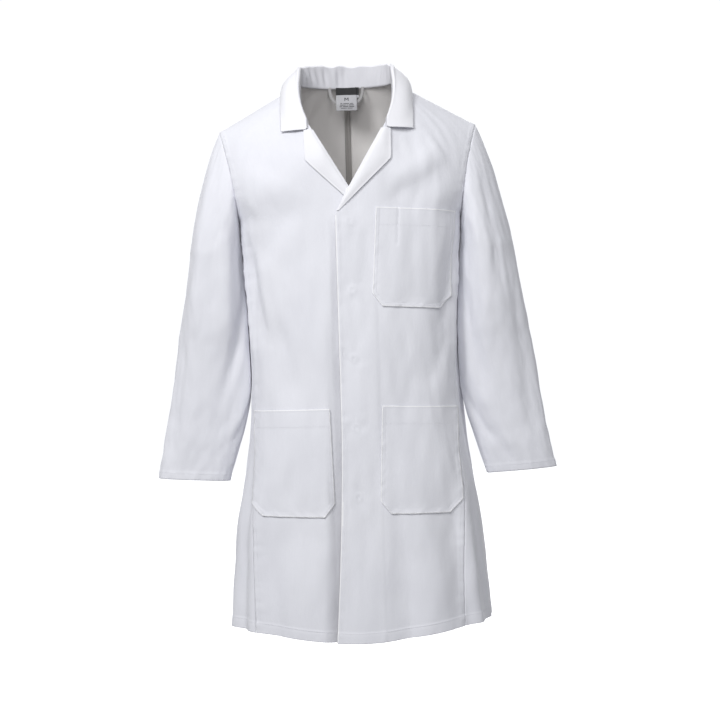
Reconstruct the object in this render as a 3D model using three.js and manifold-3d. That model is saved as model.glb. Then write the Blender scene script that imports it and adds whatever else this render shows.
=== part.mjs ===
// Lab coat with an open V neck and a notched collar, hanging at rest.
// Millimetres, +Z up, the front faces -Y, the wearer's left is +X.
// The origin is the middle of the neck opening, level with the neck ends of the shoulder seams.
import * as THREE from "three";
import { mergeVertices } from "three/addons/utils/BufferGeometryUtils.js";
import Module from "manifold-3d";

const wasm = await Module();
wasm.setup();

// cloth and sewing
const clothThickness = 0.8;
const plyGap = 0.3; // clear space between two plies that lie on each other
const seamGap = 0.5; // clear space between two panels that are sewn edge to edge

// body lengths, all measured down from the origin
const hemDrop = 985;
const underarmDrop = 235;
const waistDrop = 476;
const shoulderTipDrop = 69;
const neckPointRise = 16;
const napeRise = 17;

// body half widths
const neckHalfWidth = 85;
const shoulderHalfWidth = 236;
const chestHalfWidth = 203.5;
const waistHalfWidth = 189;
const hipHalfWidth = 207;
const hemHalfWidth = 235;

// body depths in front of and behind the shoulder line
const chestFrontDepth = 124;
const waistFrontDepth = 128;
const hemFrontDepth = 152;
const chestBackDepth = 112;
const waistBackDepth = 104;
const hemBackDepth = 134;
const bodySquareness = 2.8; // exponent of the rounded cross section
const chestFall = 190; // height over which the chest grows out of the shoulder line
const backFall = 150;
const crestCurve = 1.3;

// closing edge, facing and concealed fly
const overlapHalfWidth = 26;
const facingWidth = 66;
const flyWidth = 44;
const flyTopDrop = 240;
const flyBottomDrop = 790;
const studCount = 5;
const studTopDrop = 250;
const studPitch = 122;
const studDiameter = 12;
const postThickness = 0.9;
const socketThickness = 1.1;

// where the skirt of each front folds open
const splitDrop = 430;
const seamInset = 3; // side seam, forward of the widest line at the waist
const seamTurnRoom = 1.4; // set back along the side seam, so that the front can turn on it

// collar and lapel
const standHeight = 36;
const collarRoll = 12; // how far the fold of the collar stands off the neck seam
const leafOuterHalfWidth = 121;
const leafDrop = 82;
const leafBackDrop = 4;
const collarFrontDrop = 70;
const lapelTopDrop = 86;
const lapelCornerDrop = 139;
const lapelCornerAcross = 76;
const rollBend = 0.25; // where the roll line turns, as a share of its height
const rollSoftness = 0.1;

// sleeve
const sleeveCuffDrop = 706;
const sleeveTilt = 0.06; // slope of the cuff line
const cuffHalfWidth = 64.5;
const cuffHalfDepth = 27;
const cuffAcross = 301.5;
const armholeStart = 1.6; // the sleeve starts this far outside the armhole seam
const sleevePivotAcross = 213;
const sleevePivotDrop = 110;
const sleeveSplitRadius = 142;

// pockets
const chestPocketTopDrop = 229;
const chestPocketHeight = 176;
const chestPocketWidth = 142;
const chestPocketAcross = 46;
const chestPocketLean = 12;
const lowerPocketTopDrop = 581;
const lowerPocketHeight = 190;
const lowerPocketWidth = 136;
const lowerPocketAcross = 46;
const lowerPocketFlare = 4;
const pocketChamfer = 19;

// neck label, care label and hanger loop
const labelWidth = 39;
const labelDrop = 45;
const careLabelWidth = 16;
const careLabelDrop = 20;
const labelThickness = 0.7;
const loopSpan = 62;
const loopSag = 34;
const loopTapeWidth = 5;
const loopThickness = 1.6;

const tapeWidth = 10; // flat felled centre-back seam

const clamp01 = (t) => Math.min(1, Math.max(0, t));
const ease = (t) => clamp01(t) ** 2 * (3 - 2 * clamp01(t));
const mix = THREE.MathUtils.lerp;

// Smooth curve through [drop, value] pairs.
function along(levels, drop) {
  const last = levels.length - 1;
  const d = Math.min(levels[last][0], Math.max(levels[0][0], drop));
  let i = 0;
  while (i < last - 1 && d > levels[i + 1][0]) i += 1;
  const slope = (k) => {
    const before = levels[Math.max(0, k - 1)];
    const after = levels[Math.min(last, k + 1)];
    return (after[1] - before[1]) / (after[0] - before[0]);
  };
  const span = levels[i + 1][0] - levels[i][0];
  const t = (d - levels[i][0]) / span;
  const rise = t * t * (3 - 2 * t);
  return (
    mix(levels[i][1], levels[i + 1][1], rise) +
    slope(i) * span * t * (1 - t) * (1 - t) -
    slope(i + 1) * span * t * t * (1 - t)
  );
}

const halfWidths = [
  [-napeRise - standHeight, shoulderHalfWidth + 8],
  [shoulderTipDrop, shoulderHalfWidth + 6],
  [underarmDrop * 0.64, chestHalfWidth + 31],
  [underarmDrop * 0.82, chestHalfWidth + 19],
  [underarmDrop, chestHalfWidth],
  [underarmDrop + 30, chestHalfWidth - 2],
  [mix(underarmDrop, waistDrop, 0.5), mix(chestHalfWidth, waistHalfWidth, 0.62)],
  [waistDrop, waistHalfWidth],
  [mix(waistDrop, hemDrop, 0.21), waistHalfWidth + 3],
  [mix(waistDrop, hemDrop, 0.44), hipHalfWidth],
  [mix(waistDrop, hemDrop, 0.66), mix(hipHalfWidth, hemHalfWidth, 0.55)],
  [hemDrop, hemHalfWidth],
];
const frontDepths = [
  [-napeRise - standHeight, chestFrontDepth - 12],
  [shoulderTipDrop, chestFrontDepth - 6],
  [underarmDrop, chestFrontDepth],
  [waistDrop, waistFrontDepth],
  [mix(waistDrop, hemDrop, 0.44), mix(waistFrontDepth, hemFrontDepth, 0.36)],
  [hemDrop, hemFrontDepth],
];
const backDepths = [
  [-napeRise - standHeight, chestBackDepth - 20],
  [shoulderTipDrop, chestBackDepth - 10],
  [underarmDrop, chestBackDepth],
  [waistDrop, waistBackDepth],
  [mix(waistDrop, hemDrop, 0.44), mix(waistBackDepth, hemBackDepth, 0.4)],
  [hemDrop, hemBackDepth],
];
const halfWidth = (drop) => along(halfWidths, drop);

const shoulderSlope = (shoulderTipDrop + neckPointRise) / (shoulderHalfWidth - neckHalfWidth);

// Shoulder line, carried on as a rounded crest across the neck opening.
function shoulderDropAt(across) {
  if (across > neckHalfWidth) return (across - neckHalfWidth) * shoulderSlope - neckPointRise;
  const crest = (shoulderSlope * neckHalfWidth) / crestCurve;
  return -neckPointRise - crest * (1 - (across / neckHalfWidth) ** crestCurve);
}

// How far the cloth stands out of the shoulder line, as a share of its full depth.
function fullness(across, drop, fall) {
  const s = clamp01((drop - shoulderDropAt(Math.abs(across))) / fall);
  return (1 - (1 - s) ** 1.8) ** 0.625;
}

function roundness(across, drop) {
  const share = Math.min(1, Math.abs(across) / halfWidth(drop));
  return (1 - share ** bodySquareness) ** (1 / bodySquareness);
}

const frontY = (across, drop) =>
  -seamGap / 2 - along(frontDepths, drop) * roundness(across, drop) * fullness(across, drop, chestFall);
const backY = (across, drop) =>
  seamGap / 2 + along(backDepths, drop) * roundness(across, drop) * fullness(across, drop, backFall);

const onFront = (side, across, drop) =>
  new THREE.Vector3(side * across, frontY(across, drop), -drop);

// Normal of a surface given as a function of two parameters.
function normalOf(place, u, v, closed) {
  const step = 1e-4;
  const low = closed ? u - step : Math.max(0, u - step);
  const high = closed ? u + step : Math.min(1, u + step);
  const alongU = place(high, v).sub(place(low, v));
  const alongV = place(u, Math.min(1, v + step)).sub(place(u, Math.max(0, v - step)));
  return alongU.cross(alongV).normalize();
}

// Turns the faces round if they point inwards.
function facedOut(geometry) {
  geometry.deleteAttribute("normal");
  geometry.deleteAttribute("uv");
  const merged = mergeVertices(geometry, 1e-4);
  const p = merged.attributes.position;
  const index = merged.index.array;
  const corner = (k) => new THREE.Vector3().fromBufferAttribute(p, index[k]);
  let volume = 0;
  for (let i = 0; i < index.length; i += 3) {
    volume += corner(i).dot(corner(i + 1).cross(corner(i + 2)));
  }
  if (volume < 0) {
    for (let i = 0; i < index.length; i += 3) {
      [index[i + 1], index[i + 2]] = [index[i + 2], index[i + 1]];
    }
  }
  return merged;
}

// Outline of a grid of vertices, once round, as PlaneGeometry numbers them.
function rimOf(columns, rows, closed) {
  const at = (i, j) => j * (columns + 1) + i;
  const walk = (count, step) => Array.from({ length: count }, (_, k) => step(k));
  const down = walk(rows, (k) => [at(0, k), at(0, k + 1)]);
  const right = walk(columns, (k) => [at(k, rows), at(k + 1, rows)]);
  const up = walk(rows, (k) => [at(columns, rows - k), at(columns, rows - k - 1)]);
  const left = walk(columns, (k) => [at(columns - k, 0), at(columns - k - 1, 0)]);
  return closed ? [...right, ...left] : [...down, ...right, ...up, ...left];
}

// Cloth of an even thickness laid on the surface place(u, v); closed joins its two ends.
function cloth(columns, rows, place, thickness = clothThickness, closed = false) {
  const sheet = new THREE.PlaneGeometry(1, 1, columns, rows);
  const uv = sheet.attributes.uv;
  const count = uv.count;
  const points = new Float32Array(count * 6);
  for (let i = 0; i < count; i += 1) {
    const u = closed && uv.getX(i) > 0.9999 ? 0 : uv.getX(i);
    const v = uv.getY(i);
    const half = normalOf(place, u, v, closed).multiplyScalar(thickness / 2);
    const middle = place(u, v);
    middle.clone().add(half).toArray(points, 3 * i);
    middle.clone().sub(half).toArray(points, 3 * (i + count));
  }
  const faces = [...sheet.index.array];
  const all = [...faces];
  for (let i = 0; i < faces.length; i += 3) {
    all.push(faces[i + 1] + count, faces[i] + count, faces[i + 2] + count);
  }
  for (const [p, q] of rimOf(columns, rows, closed)) {
    all.push(q, p, p + count, q, p + count, q + count);
  }
  const geometry = new THREE.BufferGeometry();
  geometry.setAttribute("position", new THREE.BufferAttribute(points, 3));
  geometry.setIndex(all);
  return facedOut(geometry);
}

function solidOf(geometry) {
  return new wasm.Manifold(
    new wasm.Mesh({
      numProp: 3,
      vertProperties: new Float32Array(geometry.attributes.position.array),
      triVerts: new Uint32Array(geometry.index.array),
    }),
  );
}

function geometryOf(solid) {
  const mesh = solid.getMesh();
  return new THREE.BufferGeometry()
    .setAttribute("position", new THREE.BufferAttribute(mesh.vertProperties, 3))
    .setIndex(new THREE.BufferAttribute(mesh.triVerts, 1));
}

const materials = {
  coat: { color: 0xeeeef5, roughness: 0.86 },
  lining: { color: 0xd6d4d6, roughness: 0.9 },
  metal: { color: 0xb9bcc2, roughness: 0.35, metalness: 0.9 },
  label: { color: 0xd9d9dc, roughness: 0.8 },
  tape: { color: 0xe6e5ea, roughness: 0.85 },
};

const group = new THREE.Group();
group.name = "lab_coat";

function add(name, geometry, look) {
  const mesh = new THREE.Mesh(geometry, new THREE.MeshStandardMaterial(materials[look]));
  mesh.name = name;
  group.add(mesh);
}

// Side seam: on the widest line at the underarm, moving forward down to the waist.
function seamAcross(drop) {
  const share = (waistHalfWidth - seamInset) / waistHalfWidth;
  if (drop < waistDrop) {
    const t = ease((drop - underarmDrop) / (waistDrop - underarmDrop));
    return halfWidth(drop) * mix(1, share, t);
  }
  return waistHalfWidth - seamInset;
}

function armholeAcross(drop) {
  const t = clamp01((underarmDrop - drop) / (underarmDrop - shoulderTipDrop));
  return mix(chestHalfWidth, shoulderHalfWidth, t ** 1.6);
}

// Roll line of the lapel and collar, from the end of the front edge to the neck point:
// steep beside the neck, then straight down to the break.
function rollAcross(drop) {
  const t = clamp01((drop + neckPointRise) / (underarmDrop + neckPointRise));
  const bent = (s) => s - rollBend + Math.hypot(s - rollBend, rollSoftness);
  const share = (bent(t) - bent(0)) / (bent(1) - bent(0));
  return mix(neckHalfWidth, -overlapHalfWidth, share);
}

const frontColumns = 9;
const backColumns = 11;
const panelRows = 20;
const lowerShare = 0.7; // share of the rows of a panel that lie below the underarm

// The left front lies over the right one; this is how far its cloth is lifted there.
const stackLift =
  clothThickness * 3 + postThickness + socketThickness + plyGap * 5;
function overlapLift(side, across) {
  const start = overlapHalfWidth + 6;
  const end = overlapHalfWidth + 70;
  return side > 0 ? stackLift * (1 - ease((across - start) / (end - start))) : 0;
}

const frontNormal = (side, across, drop) => {
  const step = 0.05;
  const du = onFront(side, across + step, drop).sub(onFront(side, across - step, drop));
  const dv = onFront(side, across, drop - step).sub(onFront(side, across, drop + step));
  return du.cross(dv).multiplyScalar(side).normalize();
};

// A point on a front panel, moved outwards by the overlap and by lift.
function frontPoint(side, across, drop, lift) {
  const top = shoulderDropAt(Math.abs(across)) + 0.2;
  const safe = Math.max(drop, top);
  const up = overlapLift(side, across) + lift;
  return onFront(side, across, drop).addScaledVector(frontNormal(side, across, safe), up);
}

// The whole front from the closing edge to the side seam, armhole and shoulder.
function frontPlace(side, lift) {
  return (u, v) => {
    const bend = Math.sin((u * Math.PI) / 2);
    if (v < lowerShare) {
      const drop = mix(hemDrop, underarmDrop, v / lowerShare);
      const room = seamTurnRoom * ease((drop - splitDrop + 60) / 60);
      const across = mix(-overlapHalfWidth, seamAcross(drop) - seamGap / 2 - room, bend);
      return frontPoint(side, across, drop, lift);
    }
    const t = (v - lowerShare) / (1 - lowerShare);
    const innerDrop = mix(underarmDrop, -neckPointRise, t);
    const outerDrop = mix(underarmDrop, shoulderTipDrop, t);
    const outerAcross = armholeAcross(outerDrop) - seamGap / 2;
    const across = mix(rollAcross(innerDrop), outerAcross, bend);
    return frontPoint(side, across, mix(innerDrop, outerDrop, bend), lift);
  };
}

// Every ply of a front has the same facets, so plies lie on each other without touching.
const frontSheet = (side, lift) =>
  solidOf(cloth(frontColumns, panelRows, frontPlace(side, lift)));
const onePly = clothThickness + plyGap;

// A ply cut to an outline of [across, drop] corners, seen from the front.
function cutPly(side, lift, outline) {
  const shape = new THREE.Shape();
  outline.forEach(([across, drop], i) => {
    if (i) shape.lineTo(side * across, -drop);
    else shape.moveTo(side * across, -drop);
  });
  const prism = new THREE.ExtrudeGeometry(shape, { depth: 400, bevelEnabled: false });
  prism.rotateX(Math.PI / 2);
  return frontSheet(side, lift).intersect(solidOf(facedOut(prism)));
}

// The plane across which a front folds open is square to the line of its side seam.
const seamTop = onFront(1, seamAcross(waistDrop), waistDrop);
const seamEnd = onFront(1, seamAcross(hemDrop), hemDrop);
const seamLine = new THREE.Vector3().subVectors(seamTop, seamEnd).normalize();
const splitPoint = onFront(1, 0, splitDrop);
const splitNormal = new THREE.Vector3(0, seamLine.y, seamLine.z).normalize();
const splitOffset = splitPoint.dot(splitNormal);

function addSplit(name, whole, look) {
  const n = splitNormal.toArray();
  const upper = whole.trimByPlane(n, splitOffset + seamGap / 2);
  const flipped = splitNormal.clone().negate().toArray();
  const lower = whole.trimByPlane(flipped, -splitOffset + seamGap / 2);
  add(name + "_upper", geometryOf(upper), look);
  add(name + "_lower", geometryOf(lower), look);
}

function buildFront(side, word) {
  addSplit("front_" + word, frontSheet(side, 0), "coat");
}

// The facing lines the closing edge from the break of the lapel to the hem.
function buildFacing(side, word) {
  const near = 1 - overlapHalfWidth;
  const far = facingWidth - overlapHalfWidth;
  const outline = [
    [near, hemDrop - 2],
    [far, hemDrop - 2],
    [far, underarmDrop + 4],
    [near, underarmDrop + 4],
  ];
  addSplit("facing_" + word, cutPly(side, -onePly, outline), "lining");
}

// Inner ply of the concealed fly, behind the left facing; it carries the stud sockets.
function buildFly() {
  const near = 4 - overlapHalfWidth;
  const outline = [
    [near, flyBottomDrop],
    [near + flyWidth, flyBottomDrop],
    [near + flyWidth, flyTopDrop],
    [near, flyTopDrop],
  ];
  addSplit("fly_strip", cutPly(1, -2 * onePly, outline), "lining");
}

function disc(centre, direction, thickness) {
  const geometry = new THREE.CylinderGeometry(studDiameter / 2, studDiameter / 2, thickness, 14);
  const turn = new THREE.Quaternion().setFromUnitVectors(new THREE.Vector3(0, 1, 0), direction);
  geometry.applyQuaternion(turn);
  geometry.translate(centre.x, centre.y, centre.z);
  return facedOut(geometry);
}

function buildStuds() {
  const postLift = clothThickness / 2 + plyGap + postThickness / 2;
  const socketLift =
    stackLift - 2 * (clothThickness + plyGap) - clothThickness / 2 - plyGap - socketThickness / 2;
  for (let i = 0; i < studCount; i += 1) {
    const drop = studTopDrop + i * studPitch;
    const out = frontNormal(1, 0, drop);
    const base = onFront(1, 0, drop);
    const post = base.clone().addScaledVector(out, postLift);
    const socket = base.clone().addScaledVector(out, socketLift);
    add("stud_post_" + (i + 1), disc(post, out, postThickness), "metal");
    add("stud_socket_" + (i + 1), disc(socket, out, socketThickness), "metal");
  }
}

// Back panels run from the centre-back seam round the side to the seam in front.
function buildBack(side, word) {
  const place = (u, v) => {
    const shrink = seamGap / 2;
    if (v < lowerShare) {
      const drop = mix(hemDrop, underarmDrop, v / lowerShare);
      const a = halfWidth(drop);
      const share = Math.min(1, (seamAcross(drop) + shrink * ease((drop - underarmDrop) / 40)) / a);
      const stop = -Math.acos(share ** (bodySquareness / 2));
      const angle = mix(Math.PI / 2, stop, u);
      const across = Math.max(0, Math.cos(angle)) ** (2 / bodySquareness);
      const deep = Math.abs(Math.sin(angle)) ** (2 / bodySquareness);
      const depths = angle > 0 ? backDepths : frontDepths;
      const y = (along(depths, drop) * deep + shrink) * Math.sign(angle || 1);
      return new THREE.Vector3(side * Math.max(shrink, a * across), y, -drop);
    }
    const t = (v - lowerShare) / (1 - lowerShare);
    const span = Math.cos((Math.PI / 2) * (1 - u)) ** (2 / bodySquareness);
    const outer = armholeAcross(mix(underarmDrop, shoulderTipDrop, t)) - shrink * Math.min(1, 8 * t);
    const across = Math.max(shrink, outer * span);
    const topAcross = shoulderHalfWidth * span;
    const neckTop = mix(-napeRise, -neckPointRise, clamp01(topAcross / neckHalfWidth));
    const top = topAcross < neckHalfWidth ? neckTop : shoulderDropAt(topAcross);
    const drop = mix(underarmDrop, top, t);
    return new THREE.Vector3(side * across, backY(across, drop), -drop);
  };
  add("back_" + word, cloth(backColumns, panelRows, place), "coat");
}

// Flat felled seam allowance inside the centre back.
function buildBackSeam() {
  const under = onePly + 3 * seamGap;
  const place = (u, v) => {
    const low = mix(hemDrop - 8, underarmDrop, v / lowerShare);
    const high = mix(underarmDrop, 6 - napeRise, (v - lowerShare) / (1 - lowerShare));
    const drop = v < lowerShare ? low : high;
    return new THREE.Vector3(mix(-tapeWidth / 2, tapeWidth / 2, u), backY(tapeWidth, drop) - under, -drop);
  };
  add("back_seam", cloth(1, panelRows, place), "tape");
}

// Rings of the sleeve: outer and inner edge seen from the front, and half depth.
const sleeveRings = [
  { drop: 300, outer: 296, inner: 208, depth: 76, tilt: 0.12 },
  { drop: 400, outer: 312, inner: 206, depth: 64, tilt: 0.12 },
  { drop: 476, outer: 326, inner: 200.5, depth: 49, tilt: 0.1 },
  { drop: 570, outer: 341, inner: 202, depth: 34, tilt: 0.08 },
  { drop: 645, outer: 354, inner: 220, depth: 29, tilt: 0.07 },
];
const sleeveSwing = -12; // the cuff hangs this far forward of the shoulder

function sleeveRing(k) {
  const reach = (sleeveCuffDrop - underarmDrop) / 471;
  if (k >= sleeveRings.length) {
    return {
      drop: sleeveCuffDrop,
      centre: cuffAcross + chestHalfWidth - 203.5,
      half: cuffHalfWidth,
      depth: cuffHalfDepth,
      tilt: sleeveTilt,
    };
  }
  const ring = sleeveRings[k];
  const drop = underarmDrop + (ring.drop - 235) * reach;
  const clear = halfWidth(drop) + clothThickness + 2;
  const shift = chestHalfWidth - 203.5;
  const inner = Math.max(ring.inner + shift, clear);
  const outer = Math.max(ring.outer + shift, inner + 60);
  return {
    drop,
    centre: (inner + outer) / 2,
    half: (outer - inner) / 2,
    depth: ring.depth,
    tilt: ring.tilt,
  };
}

function ringPoint(k, angle) {
  const ring = sleeveRing(k);
  const swing = sleeveSwing * ease((ring.drop - underarmDrop) / (sleeveCuffDrop - underarmDrop));
  const out = Math.cos(angle) * ring.half;
  return new THREE.Vector3(
    ring.centre + out,
    swing - Math.sin(angle) * ring.depth,
    -ring.drop + out * ring.tilt,
  );
}

function armholePoint(angle) {
  const middle = (underarmDrop + shoulderTipDrop) / 2;
  const reach = (underarmDrop - shoulderTipDrop) / 2;
  const drop = middle - Math.cos(angle) * reach;
  const across = armholeAcross(drop);
  const front = Math.sin(angle) > 0;
  const y = front ? frontY(across, drop) : backY(across, drop);
  return new THREE.Vector3(across + armholeStart, y, -drop);
}

// Sleeve surface: row 0 is the armhole seam, then one ring after another to the cuff.
function sleevePoint(u, v) {
  const angle = u * 2 * Math.PI;
  const headRows = 0.28;
  if (v < headRows) {
    const t = v / headRows;
    const point = armholePoint(angle).lerp(ringPoint(0, angle), t);
    const swell = Math.sin(Math.PI * t);
    point.x += swell * 9 * Math.max(0, Math.cos(angle));
    point.y -= swell * 5 * Math.sin(angle);
    return point;
  }
  const s = ((v - headRows) / (1 - headRows)) * sleeveRings.length;
  const k = Math.min(sleeveRings.length - 1, Math.floor(s));
  return ringPoint(k, angle).lerp(ringPoint(k + 1, angle), s - k);
}

const sleevePlace = (side) => (u, v) => {
  const point = sleevePoint(u, v);
  point.x *= side;
  return point;
};

// The sleeve is one tube of cloth, parted on a cylinder round the shoulder's turning axis.
function buildSleeve(side, word) {
  const whole = solidOf(cloth(18, 14, sleevePlace(side), clothThickness, true));
  const drum = (radius) => {
    const geometry = new THREE.CylinderGeometry(radius, radius, 400, 120);
    geometry.translate(side * sleevePivotAcross, 0, -sleevePivotDrop);
    return geometry;
  };
  const inner = solidOf(facedOut(drum(sleeveSplitRadius)));
  const outer = solidOf(facedOut(drum(sleeveSplitRadius + seamGap)));
  add("sleeve_head_" + word, geometryOf(whole.intersect(inner)), "coat");
  add("sleeve_" + word, geometryOf(whole.subtract(outer)), "coat");
}

// Neck seam seen from above: from one front end round the nape to the other.
function neckPoint(u) {
  const side = u < 0.5 ? -1 : 1;
  const t = Math.abs(u - 0.5) * 2; // 0 at the nape, 1 at the front end
  const frontShare = 0.5;
  if (t < frontShare) {
    const across = neckHalfWidth * Math.sin(((t / frontShare) * Math.PI) / 2);
    const drop = mix(-napeRise, -neckPointRise, across / neckHalfWidth);
    return new THREE.Vector3(side * across, backY(across, drop), -drop);
  }
  const drop = mix(-neckPointRise, collarFrontDrop, (t - frontShare) / (1 - frontShare));
  const across = rollAcross(drop);
  return new THREE.Vector3(side * across, frontY(across, drop), -drop);
}

const collarTaper = (u) => 1 - ease((Math.abs(u - 0.5) * 2 - 0.45) / 0.55);

// Fold of the collar, above the neck seam.
function foldPoint(u) {
  const base = neckPoint(u);
  const out = new THREE.Vector3(base.x, base.y, 0).normalize();
  const high = mix(7, standHeight, collarTaper(u));
  const roll = mix(4, collarRoll, collarTaper(u)) * 0.5;
  return base.addScaledVector(out, roll).add(new THREE.Vector3(0, 0, high));
}

// Outer edge of the collar leaf, lying on the back, the shoulders and the chest.
function leafEdge(u) {
  const side = u < 0.5 ? -1 : 1;
  const t = Math.abs(u - 0.5) * 2;
  const off = 3;
  const backShare = 0.5;
  if (t < backShare) {
    const across = leafOuterHalfWidth * Math.sin(((t / backShare) * Math.PI) / 2);
    const level = mix(leafBackDrop, shoulderDropAt(leafOuterHalfWidth), (across / leafOuterHalfWidth) ** 2);
    const point = new THREE.Vector3(side * across, backY(across, level), -level);
    point.z += off * clamp01(across / neckHalfWidth);
    point.y += off;
    return point;
  }
  const s = (t - backShare) / (1 - backShare);
  const drop = mix(shoulderDropAt(leafOuterHalfWidth), leafDrop, s);
  const across = leafOuterHalfWidth - 2 * s;
  const point = onFront(side, across, Math.max(drop, shoulderDropAt(across) + 0.1));
  point.y -= off * clamp01(s * 4) + 2;
  point.z += off * (1 - s);
  return point;
}

function buildCollar() {
  const inset = 0.02;
  const stand = (u, v) => {
    const w = mix(inset, 1 - inset, u);
    const low = neckPoint(w);
    const lift = new THREE.Vector3(0, 0, clothThickness + 1.8);
    low.x *= 1 - 1 / neckHalfWidth;
    return low.add(lift).lerp(foldPoint(w), v * 0.94);
  };
  add("collar_stand", cloth(20, 2, stand), "lining");
  const leaf = (u, v) => {
    const high = foldPoint(u).add(new THREE.Vector3(0, 0, 1.6));
    const point = high.lerp(leafEdge(u), v);
    const out = new THREE.Vector3(point.x, point.y, 0).normalize();
    return point.addScaledVector(out, 5 * Math.sin(Math.PI * v) * (0.4 + collarTaper(u)));
  };
  add("collar_leaf", cloth(20, 3, leaf), "coat");
}

// Lapel: the facing turned out over the front, from the collar down to the break.
function buildLapel(side, word) {
  const breakDrop = underarmDrop - 4;
  const steps = 8;
  const outline = [];
  for (let i = 0; i <= steps; i += 1) {
    const drop = mix(breakDrop, lapelTopDrop, i / steps);
    outline.push([rollAcross(drop) + 0.6, drop]);
  }
  outline.push([lapelCornerAcross, lapelTopDrop]);
  outline.push([lapelCornerAcross, lapelCornerDrop]);
  outline.push([rollAcross(breakDrop) + 5, breakDrop]);
  add("lapel_" + word, geometryOf(cutPly(side, onePly, outline)), "lining");
}

// Patch pocket with chamfered lower corners, sewn on a front.
function pocket(side, shape) {
  const end = shape.top + shape.height;
  const left = shape.across - shape.lean - shape.flare;
  const right = shape.across + shape.width - shape.lean + shape.flare;
  const leanUp = (shape.lean * pocketChamfer) / shape.height;
  const outline = [
    [shape.across, shape.top],
    [left + leanUp, end - pocketChamfer],
    [left + pocketChamfer * 0.7, end],
    [right - pocketChamfer * 0.7, end],
    [right + leanUp, end - pocketChamfer],
    [shape.across + shape.width, shape.top],
  ];
  return geometryOf(cutPly(side, onePly, outline));
}

function buildPockets() {
  const chest = {
    top: chestPocketTopDrop,
    height: chestPocketHeight,
    width: chestPocketWidth,
    across: chestPocketAcross,
    lean: chestPocketLean,
    flare: 0,
  };
  const lower = {
    top: lowerPocketTopDrop,
    height: lowerPocketHeight,
    width: lowerPocketWidth,
    across: lowerPocketAcross,
    lean: 0,
    flare: lowerPocketFlare,
  };
  add("chest_pocket", pocket(1, chest), "coat");
  add("lower_pocket_left", pocket(1, lower), "coat");
  add("lower_pocket_right", pocket(-1, lower), "coat");
}

// Labels and loop are sewn into the neck seam at the nape and hang from it.
const hangDrop = 1.5 - napeRise;
const neckSeamY = (across) => backY(across, -napeRise) - clothThickness - 2.6;
const loopPlane = neckSeamY(loopSpan / 2 + loopTapeWidth / 2) - 3.5 * plyGap;

// The top edge follows the seam; the label is pushed forward by the loop behind it.
function hangingTab(width, drop, middle, forward) {
  const foot = loopPlane - loopThickness / 2 - labelThickness / 2 - plyGap;
  const place = (u, v) => {
    const across = middle + (u - 0.5) * width;
    const below = ((1 - v) * drop) / (loopSag - loopTapeWidth);
    const y = mix(neckSeamY(across), foot, Math.min(1.15, below)) - forward;
    return new THREE.Vector3(across, y, -hangDrop - drop * (1 - v));
  };
  return cloth(4, 4, place, labelThickness);
}

// The loop is a narrow tape in an upright plane, sewn in at both ends.
function loopTape(u, v) {
  const angle = Math.PI * v;
  const offset = (u - 0.5) * loopTapeWidth;
  const bow = Math.abs(Math.cos(angle)) ** 0.8 * Math.sign(Math.cos(angle));
  const x = -(loopSpan / 2 + offset) * bow;
  return new THREE.Vector3(x, loopPlane, -hangDrop - (loopSag + offset) * Math.sin(angle) ** 0.8);
}

function buildNeck() {
  const careForward = labelThickness + 2 * plyGap;
  add("hanger_loop", cloth(1, 14, loopTape, loopThickness), "tape");
  add("neck_label", hangingTab(labelWidth, labelDrop, 0, careForward + 0.6), "label");
  const middle = labelWidth / 2 - 4;
  add("care_label", hangingTab(careLabelWidth, careLabelDrop, middle, 2 * plyGap), "label");
}

for (const [side, word] of [
  [1, "left"],
  [-1, "right"],
]) {
  buildFront(side, word);
  buildFacing(side, word);
  buildBack(side, word);
  buildSleeve(side, word);
  buildLapel(side, word);
}
buildBackSeam();
buildFly();
buildStuds();
buildCollar();
buildPockets();
buildNeck();

export default group;
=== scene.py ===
import math

import bpy
import numpy as np
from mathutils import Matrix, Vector, noise


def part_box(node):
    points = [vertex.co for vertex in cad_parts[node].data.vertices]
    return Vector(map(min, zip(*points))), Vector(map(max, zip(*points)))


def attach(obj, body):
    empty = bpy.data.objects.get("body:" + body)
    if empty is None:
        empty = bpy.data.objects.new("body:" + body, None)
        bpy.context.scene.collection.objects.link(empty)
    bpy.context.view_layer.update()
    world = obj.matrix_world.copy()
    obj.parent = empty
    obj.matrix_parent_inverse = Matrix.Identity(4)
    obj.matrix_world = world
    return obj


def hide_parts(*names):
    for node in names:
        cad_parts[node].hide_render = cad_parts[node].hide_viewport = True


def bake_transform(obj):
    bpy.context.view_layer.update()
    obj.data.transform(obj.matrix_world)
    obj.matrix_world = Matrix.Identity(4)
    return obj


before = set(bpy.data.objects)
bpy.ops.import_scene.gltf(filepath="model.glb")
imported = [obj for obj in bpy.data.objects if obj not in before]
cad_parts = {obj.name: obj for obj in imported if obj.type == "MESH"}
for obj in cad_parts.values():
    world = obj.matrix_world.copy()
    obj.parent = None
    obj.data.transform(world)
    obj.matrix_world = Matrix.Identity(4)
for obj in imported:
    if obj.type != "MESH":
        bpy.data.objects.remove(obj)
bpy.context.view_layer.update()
print("frame loaded")

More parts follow.
